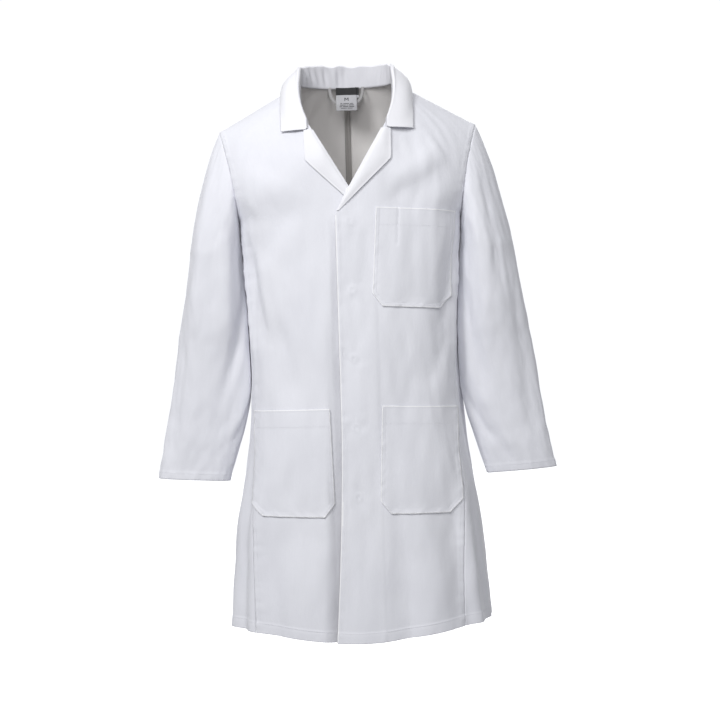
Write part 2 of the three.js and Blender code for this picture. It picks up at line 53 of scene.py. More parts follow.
# Metres. The front faces -Y, the wearer's left is +X, drop is measured down from the neck.
coatCut = {
    "hem": -float(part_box("back_left")[0][2]),
    "underarm": 0.235,
    "waist": 0.476,
    "shoulderTip": 0.069,
    "neckRise": 0.016,
    "napeRise": 0.017,
    "neckHalf": 0.085,
    "shoulderHalf": 0.236,
    "chestHalf": 0.2035,
    "seamAtWaist": 0.186,
    "squareness": 2.8,
    "chestFall": 0.19,
    "backFall": 0.15,
    "crest": 1.3,
    "overlap": 0.026,
    "rollBend": 0.25,
    "rollSoftness": 0.1,
    "ply": 0.0008,
    "seamGap": 0.0005,
    "join": 0.0001,
    "stackLift": 0.0059,
    "halfWidths": [
        (-0.053, 0.244), (0.069, 0.242), (0.1504, 0.2345), (0.1927, 0.2225),
        (0.235, 0.2035), (0.265, 0.2015), (0.3555, 0.1945), (0.476, 0.189),
        (0.5829, 0.192), (0.700, 0.207), (0.8119, 0.2224), (0.985, 0.235),
    ],
    "frontDepths": [
        (-0.053, 0.112), (0.069, 0.118), (0.235, 0.124), (0.476, 0.128),
        (0.700, 0.1366), (0.985, 0.152),
    ],
    "backDepths": [
        (-0.053, 0.092), (0.069, 0.102), (0.235, 0.112), (0.476, 0.104),
        (0.700, 0.116), (0.985, 0.134),
    ],
}

# Long soft folds: where each one starts and ends as (girth from the centre front, drop),
# how wide it is and how far it stands out; a minus sign is a hollow.
bodyFolds = {
    "girthPerTurn": 0.195,
    "long": [
        (0.055, 0.70, 0.072, 1.06, 0.016, -0.0065),
        (0.098, 0.66, 0.108, 1.06, 0.022, 0.0060),
        (0.150, 0.70, 0.160, 1.06, 0.018, -0.0085),
        (0.186, 0.62, 0.190, 1.06, 0.014, 0.0065),
        (0.225, 0.66, 0.236, 1.06, 0.018, -0.0080),
        (-0.072, 0.80, -0.066, 1.06, 0.020, 0.0040),
        (-0.118, 0.74, -0.122, 1.06, 0.018, -0.0055),
        (-0.160, 0.60, -0.162, 1.06, 0.016, 0.0070),
        (-0.192, 0.62, -0.196, 1.06, 0.013, -0.0085),
        (-0.232, 0.66, -0.240, 1.06, 0.018, 0.0050),
        (0.048, 0.228, 0.170, 0.140, 0.017, -0.0050),
        (0.060, 0.190, 0.165, 0.105, 0.020, 0.0035),
        (0.205, 0.250, 0.165, 0.480, 0.016, -0.0060),
        (0.240, 0.270, 0.212, 0.520, 0.013, 0.0050),
        (0.262, 0.260, 0.240, 0.500, 0.010, -0.0060),
        (0.196, 0.430, 0.120, 0.560, 0.016, -0.0042),
        (0.020, 0.245, 0.034, 0.420, 0.008, -0.0022),
        (0.010, 0.300, 0.016, 0.760, 0.014, 0.0014),
        (-0.075, 0.190, -0.175, 0.330, 0.024, -0.0060),
        (-0.110, 0.150, -0.190, 0.230, 0.024, 0.0040),
        (-0.205, 0.250, -0.160, 0.480, 0.016, -0.0060),
        (-0.238, 0.262, -0.214, 0.520, 0.012, 0.0050),
        (-0.262, 0.260, -0.236, 0.510, 0.010, -0.0060),
        (-0.150, 0.400, -0.105, 0.580, 0.020, -0.0040),
        (-0.045, 0.260, -0.052, 0.900, 0.010, 0.0016),
        (0.330, 0.300, 0.345, 1.06, 0.022, 0.0070),
        (0.385, 0.420, 0.405, 1.06, 0.020, -0.0095),
        (0.455, 0.500, 0.470, 1.06, 0.024, 0.0070),
        (0.535, 0.560, 0.545, 1.06, 0.020, -0.0080),
        (-0.325, 0.320, -0.345, 1.06, 0.020, -0.0080),
        (-0.395, 0.400, -0.410, 1.06, 0.022, 0.0075),
        (-0.470, 0.470, -0.480, 1.06, 0.020, -0.0090),
        (-0.545, 0.560, -0.550, 1.06, 0.024, 0.0060),
        (0.430, 0.200, 0.560, 0.330, 0.022, -0.0045),
        (-0.420, 0.210, -0.560, 0.350, 0.024, -0.0045),
        (0.600, 0.240, 0.540, 0.480, 0.030, 0.0035),
        (-0.590, 0.260, -0.500, 0.500, 0.026, -0.0040),
    ],
    "lean": 1.7,  # a fold falls off this much more slowly on one side
    "fadeIn": 0.35,
    "fadeOut": 0.72,
    "grain": (17, 9, 5.5),
    "unevenness": 0.0030,
    "crumple": 0.0015,
    "wander": 0.011,
    "restAtSeam": 0.045,  # folds die out over this distance from shoulders and armholes
}


def clamp01(t):
    return np.clip(t, 0.0, 1.0)


def ease(t):
    t = clamp01(t)
    return t * t * (3 - 2 * t)


def mix(a, b, t):
    return a + (b - a) * t


def bell(t):
    return np.exp(-t * t)


# smooth curve through pairs of (place, value)
def along(levels, at):
    places = np.array([p for p, _ in levels], float)
    values = np.array([v for _, v in levels], float)
    last = len(places) - 1
    slopes = np.empty(last + 1)
    for k in range(last + 1):
        low, high = max(0, k - 1), min(last, k + 1)
        slopes[k] = (values[high] - values[low]) / (places[high] - places[low])
    at = np.clip(np.asarray(at, float), places[0], places[-1])
    i = np.clip(np.searchsorted(places, at, side="right") - 1, 0, last - 1)
    span = places[i + 1] - places[i]
    t = (at - places[i]) / span
    value = mix(values[i], values[i + 1], t * t * (3 - 2 * t))
    value = value + slopes[i] * span * t * (1 - t) ** 2
    return value - slopes[i + 1] * span * t * t * (1 - t)


def halfWidth(drop):
    return along(coatCut["halfWidths"], drop)


def shoulderDrop(across):
    cut = coatCut
    slope = (cut["shoulderTip"] + cut["neckRise"]) / (cut["shoulderHalf"] - cut["neckHalf"])
    sloped = (across - cut["neckHalf"]) * slope - cut["neckRise"]
    crest = slope * cut["neckHalf"] / cut["crest"]
    share = clamp01(across / cut["neckHalf"])
    rounded = -cut["neckRise"] - crest * (1 - share ** cut["crest"])
    return np.where(across > cut["neckHalf"], sloped, rounded)


def fullness(across, drop, fall):
    s = clamp01((drop - shoulderDrop(np.abs(across))) / fall)
    return (1 - (1 - s) ** 1.8) ** 0.625


def roundness(across, drop):
    p = coatCut["squareness"]
    share = np.minimum(1, np.abs(across) / halfWidth(drop))
    return (1 - share ** p) ** (1 / p)


def frontY(across, drop):
    depth = along(coatCut["frontDepths"], drop)
    full = fullness(across, drop, coatCut["chestFall"])
    return -coatCut["seamGap"] / 2 - depth * roundness(across, drop) * full


def backY(across, drop):
    depth = along(coatCut["backDepths"], drop)
    full = fullness(across, drop, coatCut["backFall"])
    return coatCut["seamGap"] / 2 + depth * roundness(across, drop) * full


def seamAcross(drop):
    t = ease((drop - coatCut["underarm"]) / (coatCut["waist"] - coatCut["underarm"]))
    share = coatCut["seamAtWaist"] / float(halfWidth(coatCut["waist"]))
    return np.where(drop < coatCut["waist"], halfWidth(drop) * mix(1, share, t), coatCut["seamAtWaist"])


def armholeAcross(drop):
    cut = coatCut
    t = clamp01((cut["underarm"] - drop) / (cut["underarm"] - cut["shoulderTip"]))
    return mix(cut["chestHalf"], cut["shoulderHalf"], t ** 1.6)


# the line on which lapel and collar turn over
def rollAcross(drop):
    cut = coatCut
    t = clamp01((drop + cut["neckRise"]) / (cut["underarm"] + cut["neckRise"]))

    def bent(s):
        return s - cut["rollBend"] + np.hypot(s - cut["rollBend"], cut["rollSoftness"])

    share = (bent(t) - bent(0)) / (bent(1) - bent(0))
    return mix(cut["neckHalf"], -cut["overlap"], share)


def unitVectors(v):
    return v / np.maximum(np.linalg.norm(v, axis=-1, keepdims=True), 1e-12)


def stack3(x, y, z):
    return np.stack(np.broadcast_arrays(x, y, z), axis=-1).astype(float)


def noiseAt(points):
    flat = points.reshape(-1, 3)
    values = np.fromiter((noise.noise(Vector(p)) for p in flat.tolist()), float, len(flat))
    return values.reshape(points.shape[:-1])


# how far a point is from a fold's line, and its place along it from 0 to 1
def besideLine(s, d, line):
    s0, d0, s1, d1 = line
    long = math.hypot(s1 - s0, d1 - d0)
    us, ud = (s1 - s0) / long, (d1 - d0) / long
    place = ((s - s0) * us + (d - d0) * ud) / long
    return (s - s0) * ud - (d - d0) * us, place


def foldHeight(points):
    x, y, drop = points[..., 0], points[..., 1], -points[..., 2]
    depth = np.where(y < 0, along(coatCut["frontDepths"], drop), along(coatCut["backDepths"], drop))
    turn = np.arctan2(x / halfWidth(drop), -y / depth)
    girth = bodyFolds["girthPerTurn"] * turn
    wave = stack3(girth, y, drop) * np.array(bodyFolds["grain"])
    height = np.zeros_like(girth)
    bent = girth + bodyFolds["wander"] * noiseAt(wave * 0.8 + 3.0)
    for s0, d0, s1, d1, width, high in bodyFolds["long"]:
        off, place = besideLine(bent, drop, (s0, d0, s1, d1))
        wide = np.where(off > 0, width, width * bodyFolds["lean"])
        ends = ease(place / bodyFolds["fadeIn"])
        if d1 < coatCut["hem"]:  # the others run out through the hem
            ends = ends * (1 - ease((place - bodyFolds["fadeOut"]) / (1 - bodyFolds["fadeOut"])))
        height += high * bell(off / wide) * ends
    height += bodyFolds["unevenness"] * noiseAt(wave)
    height += bodyFolds["crumple"] * noiseAt(wave * 3.1 + 7.0)
    rest = bodyFolds["restAtSeam"]
    calm = ease((drop - shoulderDrop(np.abs(x)) - 0.004) / rest)
    above = ease((armholeAcross(drop) - np.abs(x)) / rest)
    below = mix(above, 1, ease((drop - coatCut["underarm"]) / 0.05))
    return height * calm * np.where(drop < coatCut["underarm"], above, below)


def overlapLift(side, across):
    if side < 0:
        return np.zeros_like(across)
    start, end = coatCut["overlap"] + 0.006, coatCut["overlap"] + 0.070
    return coatCut["stackLift"] * (1 - ease((across - start) / (end - start)))


# a lower front that falls back behind the closing edge of the other one
closing = {
    "step": 0.0045,
    "sink": 0.020,
    "sinkFrom": 0.24,
    "sinkFlat": 0.024,
    "sinkEase": 0.012,
    "sinkEaseAtHem": 0.034,
    "drift": 0.019,
    "driftFrom": 0.60,
}


def edgeDrift(side, drop):
    down = clamp01((drop - closing["driftFrom"]) / (coatCut["hem"] - closing["driftFrom"]))
    return closing["drift"] * down ** 1.6 * side


def sinkAt(side, across, drop):
    if side > 0:
        return np.zeros_like(across)
    down = clamp01((drop - closing["sinkFrom"]) / (coatCut["hem"] - closing["sinkFrom"]))
    sunk = closing["step"] * ease(down / 0.08) + closing["sink"] * down ** 2.4
    reach = closing["sinkEase"] + closing["sinkEaseAtHem"] * down
    return -sunk * (1 - ease((across - closing["sinkFlat"]) / reach))


# the hem hangs lower in front than at the sides
hemSag = {"front": 0.009, "side": -0.013, "back": -0.007, "from": 0.62}


def hemShift(points):
    x, y, drop = points[..., 0], points[..., 1], -points[..., 2]
    depth = np.where(y < 0, along(coatCut["frontDepths"], drop), along(coatCut["backDepths"], drop))
    turn = np.abs(np.arctan2(x / halfWidth(drop), -y / depth))
    sag = mix(hemSag["front"], hemSag["side"], ease(turn / 1.0))
    sag = mix(sag, hemSag["back"], ease((turn - 1.8) / 1.2))
    down = ease((drop - hemSag["from"]) / (coatCut["hem"] - hemSag["from"])) ** 1.5
    return stack3(0 * x, 0 * x, -sag * down)


def onFront(side, across, drop):
    return stack3(side * across, frontY(across, drop), -drop)


# a point on the folded front, lifted off it along its normal
def frontAt(side, across, drop, lift=0.0):
    across, drop = np.broadcast_arrays(np.asarray(across, float), np.asarray(drop, float))
    base = onFront(side, across, drop)
    safe = np.maximum(drop, shoulderDrop(np.abs(across)) + 0.0008)
    step = 0.0003
    du = onFront(side, across + step, safe) - onFront(side, across - step, safe)
    dv = onFront(side, across, safe - step) - onFront(side, across, safe + step)
    normal = unitVectors(np.cross(du, dv) * side)
    up = lift + overlapLift(side, across) + foldHeight(base) + sinkAt(side, across, drop)
    return base + hemShift(base) + normal * np.asarray(up)[..., None], normal


def rowFractions(count, fine=5, edge=0.03):
    parts = [np.linspace(0, edge, fine), np.linspace(edge, 1 - edge, count), np.linspace(1 - edge, 1, fine)]
    return np.unique(np.concatenate(parts))


# the same places without any that lie closer together than the least step
def spaced(values, least):
    kept = [values[0]]
    for value in values[1:]:
        if value - kept[-1] > least:
            kept.append(value)
    kept[-1] = values[-1]
    return np.array(kept)


# even spacing along each row of points
def resample(rows, fractions):
    step = np.linalg.norm(np.diff(rows, axis=1), axis=2)
    length = np.concatenate([np.zeros((len(rows), 1)), np.cumsum(step, axis=1)], axis=1)
    out = np.empty((len(rows), len(fractions), 3))
    for r in range(len(rows)):
        want = fractions * length[r, -1]
        for k in range(3):
            out[r, :, k] = np.interp(want, length[r], rows[r, :, k])
    return out


def gridNormals(grid, closed=False):
    if closed:
        du = np.roll(grid, -1, axis=1) - np.roll(grid, 1, axis=1)
    else:
        du = np.gradient(grid, axis=1)
    return unitVectors(np.cross(du, np.gradient(grid, axis=0)))


def gridUv(grid, closed=False):
    across = np.linalg.norm(np.diff(grid, axis=1), axis=2)
    u = np.concatenate([np.zeros((len(grid), 1)), np.cumsum(across, axis=1)], axis=1)
    if closed:
        last = np.linalg.norm(grid[:, :1] - grid[:, -1:], axis=2)
        u = np.concatenate([u, u[:, -1:] + last], axis=1)
    down = np.linalg.norm(np.diff(grid, axis=0), axis=2)
    v = np.concatenate([np.zeros((1, grid.shape[1])), np.cumsum(down, axis=0)], axis=0)
    if closed:
        v = np.concatenate([v, v[:, :1]], axis=1)
    return np.stack([u - u[:, -1:] / 2, v], axis=-1)


def meshArea(grid, closed=False):
    g = np.concatenate([grid, grid[:, :1]], axis=1) if closed else grid
    a, b, c, d = g[:-1, :-1], g[1:, :-1], g[1:, 1:], g[:-1, 1:]
    one = np.linalg.norm(np.cross(b - a, c - a), axis=2)
    two = np.linalg.norm(np.cross(c - a, d - a), axis=2)
    return float((one + two).sum() / 2)


# a piece of cloth on a grid of points, with its own thickness and its weave laid along it
def clothPiece(name, grid, thickness, looks, closed=False, outwards=True):
    rows, columns = grid.shape[:2]
    index = np.arange(rows * columns).reshape(rows, columns)
    if closed:
        index = np.concatenate([index, index[:, :1]], axis=1)
    quads = np.stack([index[:-1, :-1], index[1:, :-1], index[1:, 1:], index[:-1, 1:]], axis=-1)
    uv = gridUv(grid, closed)
    corners = np.stack([uv[:-1, :-1], uv[1:, :-1], uv[1:, 1:], uv[:-1, 1:]], axis=-2)
    quads, corners = quads.reshape(-1, 4), corners.reshape(-1, 4, 2)
    if not outwards:
        quads, corners = quads[:, ::-1], corners[:, ::-1]
    mesh = bpy.data.meshes.new(name + "_cloth")
    mesh.from_pydata(grid.reshape(-1, 3).tolist(), [], quads.tolist())
    layer = mesh.uv_layers.new(name="weave")
    layer.data.foreach_set("uv", corners.reshape(-1).astype(np.float32))
    mesh.polygons.foreach_set("use_smooth", np.ones(len(quads), bool))
    for look in looks:
        mesh.materials.append(look)
    piece = bpy.data.objects.new(name + "_cloth", mesh)
    bpy.context.scene.collection.objects.link(piece)
    thick = piece.modifiers.new("thickness", "SOLIDIFY")
    thick.thickness = thickness
    thick.offset = 0
    thick.material_offset = len(looks) - 1
    print(f"{name}: {rows} x {columns}, {meshArea(grid, closed):.4f} m2")
    return piece


# give the quads whose corners are all marked a look of their own
def paintQuads(piece, marked, look):
    piece.data.materials.append(look)
    every = marked[:-1, :-1] & marked[1:, :-1] & marked[:-1, 1:] & marked[1:, 1:]
    shares = every.reshape(-1) * (len(piece.data.materials) - 1)
    piece.data.polygons.foreach_set("material_index", shares.astype(np.int32))


# how the cloth, thread, labels and studs look
clothLook = {
    "white": (0.83, 0.835, 0.885, 1),
    "shade": (0.765, 0.77, 0.825, 1),
    # lapels and collar get a lighter copy of the cloth: painted light where they face the lamps
    "turned": (0.885, 0.885, 0.925, 1),
    "paintedLightDark": (0.85, 0.85, 0.89, 1),
    # the inside face of the collar stand is darker grey: painted shade
    "stand": (0.66, 0.66, 0.70, 1),
    "standShade": (0.60, 0.60, 0.64, 1),
    # the inside of the coat is a warmer, slightly darker copy of the cloth: painted shade
    "insidePaintedShade": (0.83, 0.81, 0.80, 1),
    "insidePaintedShadeDark": (0.79, 0.77, 0.76, 1),
    # the back seam allowance is dark grey: painted shadow in the seam
    "seamPaintedShadow": (0.38, 0.365, 0.355, 1),
    # the closing edge and pocket edges get a lighter copy: painted highlight
    "edge": (0.96, 0.96, 0.98, 1),
    "edgeHighlightDark": (0.90, 0.90, 0.93, 1),
    # the darker tone of the back seam's painted shadow
    "seamPaintedShadowDark": (0.342, 0.3285, 0.3195, 1),
    # the hanger loop is dark grey: painted shade behind the label
    "tape": (0.40, 0.395, 0.40, 1),
    "loopPaintedShadeDark": (0.34, 0.335, 0.34, 1),
    "thread": (0.86, 0.865, 0.91, 1),
    "threadShade": (0.76, 0.765, 0.80, 1),
    "ink": (0.03, 0.03, 0.035, 1),
    "inkShade": (0.06, 0.06, 0.065, 1),
    "metal": (0.72, 0.73, 0.75, 1),
    "metalShade": (0.58, 0.59, 0.61, 1),
    # the label's pale part is mid grey: painted shade, as it hangs inside the neck
    "labelPaleInShade": (0.50, 0.50, 0.525, 1),
    "labelPaleInShadeDark": (0.40, 0.40, 0.42, 1),
    "labelBlack": (0.004, 0.004, 0.005, 1),
    "labelBlackShade": (0.012, 0.012, 0.014, 1),
    "labelBand": 0.0155,
    "threadPitch": 0.0011,
    "weaveDepth": 0.00012,
    "creaseDepth": 0.0024,
    "roughLow": 0.74,
    "roughHigh": 0.92,
    "sheen": 0.22,
}


def newMaterial(name):
    made = bpy.data.materials.new(name)
    made.use_nodes = True
    made.node_tree.nodes.clear()
    nodes, links = made.node_tree.nodes, made.node_tree.links
    out = nodes.new("ShaderNodeOutputMaterial")
    shader = nodes.new("ShaderNodeBsdfPrincipled")
    links.new(shader.outputs["BSDF"], out.inputs["Surface"])
    return made, nodes, links, shader


def mathNode(nodes, links, kind, a, b):
    node = nodes.new("ShaderNodeMath")
    node.operation = kind
    for socket, value in zip(node.inputs, (a, b)):
        if isinstance(value, (int, float)):
            socket.default_value = value
        else:
            links.new(value, socket)
    return node.outputs[0]


def weighted(nodes, links, first, share, second, secondShare):
    one = mathNode(nodes, links, "MULTIPLY", first, share)
    two = mathNode(nodes, links, "MULTIPLY", second, secondShare)
    return mathNode(nodes, links, "ADD", one, two)


def mapRange(nodes, links, value, low, high, toLow, toHigh):
    node = nodes.new("ShaderNodeMapRange")
    links.new(value, node.inputs["Value"])
    node.inputs["From Min"].default_value = low
    node.inputs["From Max"].default_value = high
    node.inputs["To Min"].default_value = toLow
    node.inputs["To Max"].default_value = toHigh
    return node.outputs["Result"]


def noiseNode(nodes, links, vector, scale, detail, stretch=(1, 1, 1)):
    mapping = nodes.new("ShaderNodeMapping")
    mapping.inputs["Scale"].default_value = stretch
    links.new(vector, mapping.inputs["Vector"])
    node = nodes.new("ShaderNodeTexNoise")
    node.inputs["Scale"].default_value = scale
    node.inputs["Detail"].default_value = detail
    links.new(mapping.outputs["Vector"], node.inputs["Vector"])
    return node.outputs["Fac"]


def waveNode(nodes, links, vector, scale, turn, distortion):
    mapping = nodes.new("ShaderNodeMapping")
    mapping.inputs["Rotation"].default_value = (0, 0, turn)
    links.new(vector, mapping.inputs["Vector"])
    node = nodes.new("ShaderNodeTexWave")
    node.wave_type = "BANDS"
    node.bands_direction = "X"
    node.inputs["Scale"].default_value = scale
    node.inputs["Distortion"].default_value = distortion
    node.inputs["Detail"].default_value = 1
    links.new(mapping.outputs["Vector"], node.inputs["Vector"])
    return node.outputs["Fac"]


def mixColours(nodes, links, share, first, second):
    node = nodes.new("ShaderNodeMix")
    node.data_type = "RGBA"
    links.new(share, node.inputs["Factor"])
    for socket, value in ((node.inputs[6], first), (node.inputs[7], second)):
        if isinstance(value, tuple):
            socket.default_value = value
        else:
            links.new(value, socket)
    return node.outputs[2]


# twill in poly-cotton: diagonal ribs over the yarns, slubs, faint handling marks
def twillMaterial(name, light, dark):
    made, nodes, links, shader = newMaterial(name)
    uv = nodes.new("ShaderNodeUVMap")
    uv.uv_map = "weave"
    place = nodes.new("ShaderNodeTexCoord").outputs["Object"]
    ribs = waveNode(nodes, links, uv.outputs["UV"], 0.314 / clothLook["threadPitch"], math.radians(63), 0.8)
    yarns = waveNode(nodes, links, uv.outputs["UV"], 0.55 / clothLook["threadPitch"], 0.0, 1.4)
    slubs = noiseNode(nodes, links, uv.outputs["UV"], 260, 4, (1.0, 0.12, 1.0))
    marks = noiseNode(nodes, links, place, 9, 5, (1, 1, 0.55))
    broad = noiseNode(nodes, links, place, 3.2, 3)
    weave = weighted(nodes, links, ribs, 0.62, yarns, 0.38)
    tone = weighted(nodes, links, marks, 0.55, broad, 0.45)
    tone = mapRange(nodes, links, tone, 0.34, 0.66, 0.0, 1.0)
    base = mixColours(nodes, links, tone, light, dark)
    fleck = weighted(nodes, links, weave, 0.5, slubs, 0.5)
    fleck = mapRange(nodes, links, fleck, 0.25, 0.8, 0.22, 0.0)
    deep = tuple(c * 0.86 for c in dark[:3]) + (1,)
    colour = mixColours(nodes, links, fleck, base, deep)
    links.new(colour, shader.inputs["Base Color"])
    worn = weighted(nodes, links, slubs, 0.6, marks, 0.4)
    rough = mapRange(nodes, links, worn, 0.3, 0.7, clothLook["roughLow"], clothLook["roughHigh"])
    links.new(rough, shader.inputs["Roughness"])
    shader.inputs["Sheen Weight"].default_value = clothLook["sheen"]
    shader.inputs["Sheen Roughness"].default_value = 0.45
    shader.inputs["Specular IOR Level"].default_value = 0.28
    height = weighted(nodes, links, weave, 0.7, slubs, 0.3)
    fine = nodes.new("ShaderNodeBump")
    fine.inputs["Distance"].default_value = clothLook["weaveDepth"]
    fine.inputs["Strength"].default_value = 0.7
    links.new(height, fine.inputs["Height"])
    creases = noiseNode(nodes, links, place, 34, 6, (1, 1, 0.5))
    soft = nodes.new("ShaderNodeBump")
    soft.inputs["Distance"].default_value = clothLook["creaseDepth"]
    soft.inputs["Strength"].default_value = 0.60
    links.new(creases, soft.inputs["Height"])
    links.new(fine.outputs["Normal"], soft.inputs["Normal"])
    links.new(soft.outputs["Normal"], shader.inputs["Normal"])
    return made


def threadMaterial(name, light, dark):
    made, nodes, links, shader = newMaterial(name)
    place = nodes.new("ShaderNodeTexCoord").outputs["Object"]
    twist = waveNode(nodes, links, place, 900, 0.6, 0.5)
    fuzz = noiseNode(nodes, links, place, 1500, 3)
    tone = mapRange(nodes, links, fuzz, 0.3, 0.7, 0, 1)
    links.new(mixColours(nodes, links, tone, light, dark), shader.inputs["Base Color"])
    links.new(mapRange(nodes, links, fuzz, 0.3, 0.7, 0.55, 0.75), shader.inputs["Roughness"])
    bump = nodes.new("ShaderNodeBump")
    bump.inputs["Distance"].default_value = 0.0001
    links.new(twist, bump.inputs["Height"])
    links.new(bump.outputs["Normal"], shader.inputs["Normal"])
    shader.inputs["Sheen Weight"].default_value = 0.15
    return made


def studMaterial():
    made, nodes, links, shader = newMaterial("satinStudMetal")
    place = nodes.new("ShaderNodeTexCoord").outputs["Object"]
    scratches = noiseNode(nodes, links, place, 900, 6, (1, 1, 6))
    wear = noiseNode(nodes, links, place, 160, 3)
    colour = mixColours(nodes, links, wear, clothLook["metal"], clothLook["metalShade"])
    links.new(colour, shader.inputs["Base Color"])
    links.new(mapRange(nodes, links, scratches, 0.3, 0.7, 0.24, 0.42), shader.inputs["Roughness"])
    shader.inputs["Metallic"].default_value = 1
    bump = nodes.new("ShaderNodeBump")
    bump.inputs["Distance"].default_value = 0.00003
    links.new(scratches, bump.inputs["Height"])
    links.new(bump.outputs["Normal"], shader.inputs["Normal"])
    return made


whiteTwill = twillMaterial("whiteTwill", clothLook["white"], clothLook["shade"])
# painted light: the lighter copy for lapels and collar
paintedLightTwill = twillMaterial("paintedLightTwill", clothLook["turned"], clothLook["paintedLightDark"])
# painted shade: the copy on the inner faces of fronts, facings, back and sleeves
insideShadeTwill = twillMaterial("insideShadeTwill", clothLook["insidePaintedShade"], clothLook["insidePaintedShadeDark"])
# painted highlight on the closing edge and pocket edges
edgeHighlightTwill = twillMaterial("edgeHighlightTwill", clothLook["edge"], clothLook["edgeHighlightDark"])
# painted shade on the collar stand's inside face
standTwill = twillMaterial("standTwill", clothLook["stand"], clothLook["standShade"])
# painted shadow down the centre back seam
seamShadowTwill = twillMaterial("seamShadowTwill", clothLook["seamPaintedShadow"], clothLook["seamPaintedShadowDark"])
# painted shade on the hanger loop
loopShadeTwill = twillMaterial("loopShadeTwill", clothLook["tape"], clothLook["loopPaintedShadeDark"])
whiteThread = threadMaterial("whiteThread", clothLook["thread"], clothLook["threadShade"])
studMetal = studMaterial()
print("materials made")


sewing = {"pitch": 0.0034, "length": 0.0025, "width": 0.00052, "height": 0.00050, "proud": 0.00012}
beadFaces = [(0, 2, 1), (0, 3, 2), (0, 4, 3), (0, 1, 4), (5, 1, 2), (5, 2, 3), (5, 3, 4), (5, 4, 1)]


# one small thread lying on the cloth for each stitch along a line of points
def stitchesAlong(line, normals):
    step = np.linalg.norm(np.diff(line, axis=0), axis=1)
    length = np.concatenate([[0], np.cumsum(step)])
    count = max(2, int(length[-1] / sewing["pitch"]))
    middle = (np.arange(count) + 0.5) * length[-1] / count
    half = sewing["length"] / 2

    def at(where, values):
        return np.stack([np.interp(where, length, values[:, k]) for k in range(3)], axis=-1)

    start, end = at(middle - half, line), at(middle + half, line)
    out = unitVectors(at(middle, normals))
    ahead = unitVectors(end - start)
    beside = unitVectors(np.cross(ahead, out))
    centre = (start + end) / 2
    wide, high = sewing["width"] / 2, sewing["height"]
    corners = [
        start,
        centre + beside * wide,
        centre + out * high,
        centre - beside * wide,
        centre - out * high * 0.3,
        end,
    ]
    return np.stack(corners, axis=1)


def stitchPiece(name, groups):
    beads = np.concatenate(groups)
    every = (np.arange(len(beads))[:, None, None] * 6 + np.array(beadFaces)[None]).reshape(-1, 3)
    mesh = bpy.data.meshes.new(name)
    mesh.from_pydata(beads.reshape(-1, 3).tolist(), [], every.tolist())
    mesh.polygons.foreach_set("use_smooth", np.ones(len(every), bool))
    mesh.materials.append(whiteThread)
    piece = bpy.data.objects.new(name, mesh)
    bpy.context.scene.collection.objects.link(piece)
    print(f"{name}: {len(beads)} stitches")
    return piece


stitches = {"left": [], "right": [], "back": [], "sleeveLeft": [], "sleeveRight": []}
clothTop = coatCut["ply"] / 2 + sewing["proud"]


def sewFront(side, word, across, drop, lift=0.0):
    line, normal = frontAt(side, np.asarray(across, float), np.asarray(drop, float), lift + clothTop)
    stitches[word].append(stitchesAlong(line, normal))


# a raised seam: cloth turned in under the edge, with a dip where the thread pulls
def turnedIn(distance, width, high, dip=0.00035):
    raised = high * (1 - ease((distance - width) / 0.0016))
    return raised - dip * bell((distance - width + 0.0015) / 0.0012)


def pucker(distance, place, reach, high):
    ripples = noiseAt(stack3(place * 105, distance * 30, distance * 0 + 3.3))
    return high * ripples * bell(distance / reach)


fronts = {
    "columns": 84,
    "lowerRows": 200,
    "upperRows": 78,
    "skirtLength": 0.75,
    "hemTurn": 0.018,
    "seamTurn": 0.008,
    "edgeTurn": 0.0065,
    "seamStitch": 0.0066,
    "edgeStitch": 0.0056,
    "facing": 0.040,
    # width of the painted highlight along the closing edge
    "highlightEdge": 0.0034,
    "studs": [0.250, 0.372, 0.494, 0.616, 0.738],
}


def panelSteps():
    low = 1 - np.linspace(0, 1, fronts["lowerRows"])
    atHem = np.array([0.0, 0.0015, 0.003]) / fronts["skirtLength"]
    atTurn = (fronts["hemTurn"] + np.linspace(-0.002, 0.002, 5)) / fronts["skirtLength"]
    low = spaced(np.unique(np.concatenate([low, atHem, atTurn])), 0.0008)
    high = np.sin(np.linspace(0, 1, fronts["upperRows"])[1:] * math.pi / 2)
    return low, high


lowSteps, highSteps = panelSteps()


# across and drop of every point of one front, from the hem up
def frontPlaces(side):
    cut = coatCut
    fine = np.linspace(0, 1, 500)
    bend = np.sin(fine * math.pi / 2)
    rows = []
    for v in lowSteps:
        drop = mix(cut["hem"], cut["underarm"], v)
        inner = -cut["overlap"] - float(edgeDrift(side, drop))
        across = mix(inner, float(seamAcross(drop)) - cut["join"], bend)
        rows.append(onFront(side, across, np.full_like(across, drop)))
    for t in highSteps:
        innerDrop = mix(cut["underarm"], -cut["neckRise"], t)
        outerDrop = mix(cut["underarm"], cut["shoulderTip"], t)
        outer = float(armholeAcross(outerDrop)) - cut["join"]
        across = mix(float(rollAcross(innerDrop)), outer, bend)
        rows.append(onFront(side, across, mix(innerDrop, outerDrop, bend)))
    even = resample(np.array(rows), rowFractions(fronts["columns"]))
    return side * even[..., 0], -even[..., 2]


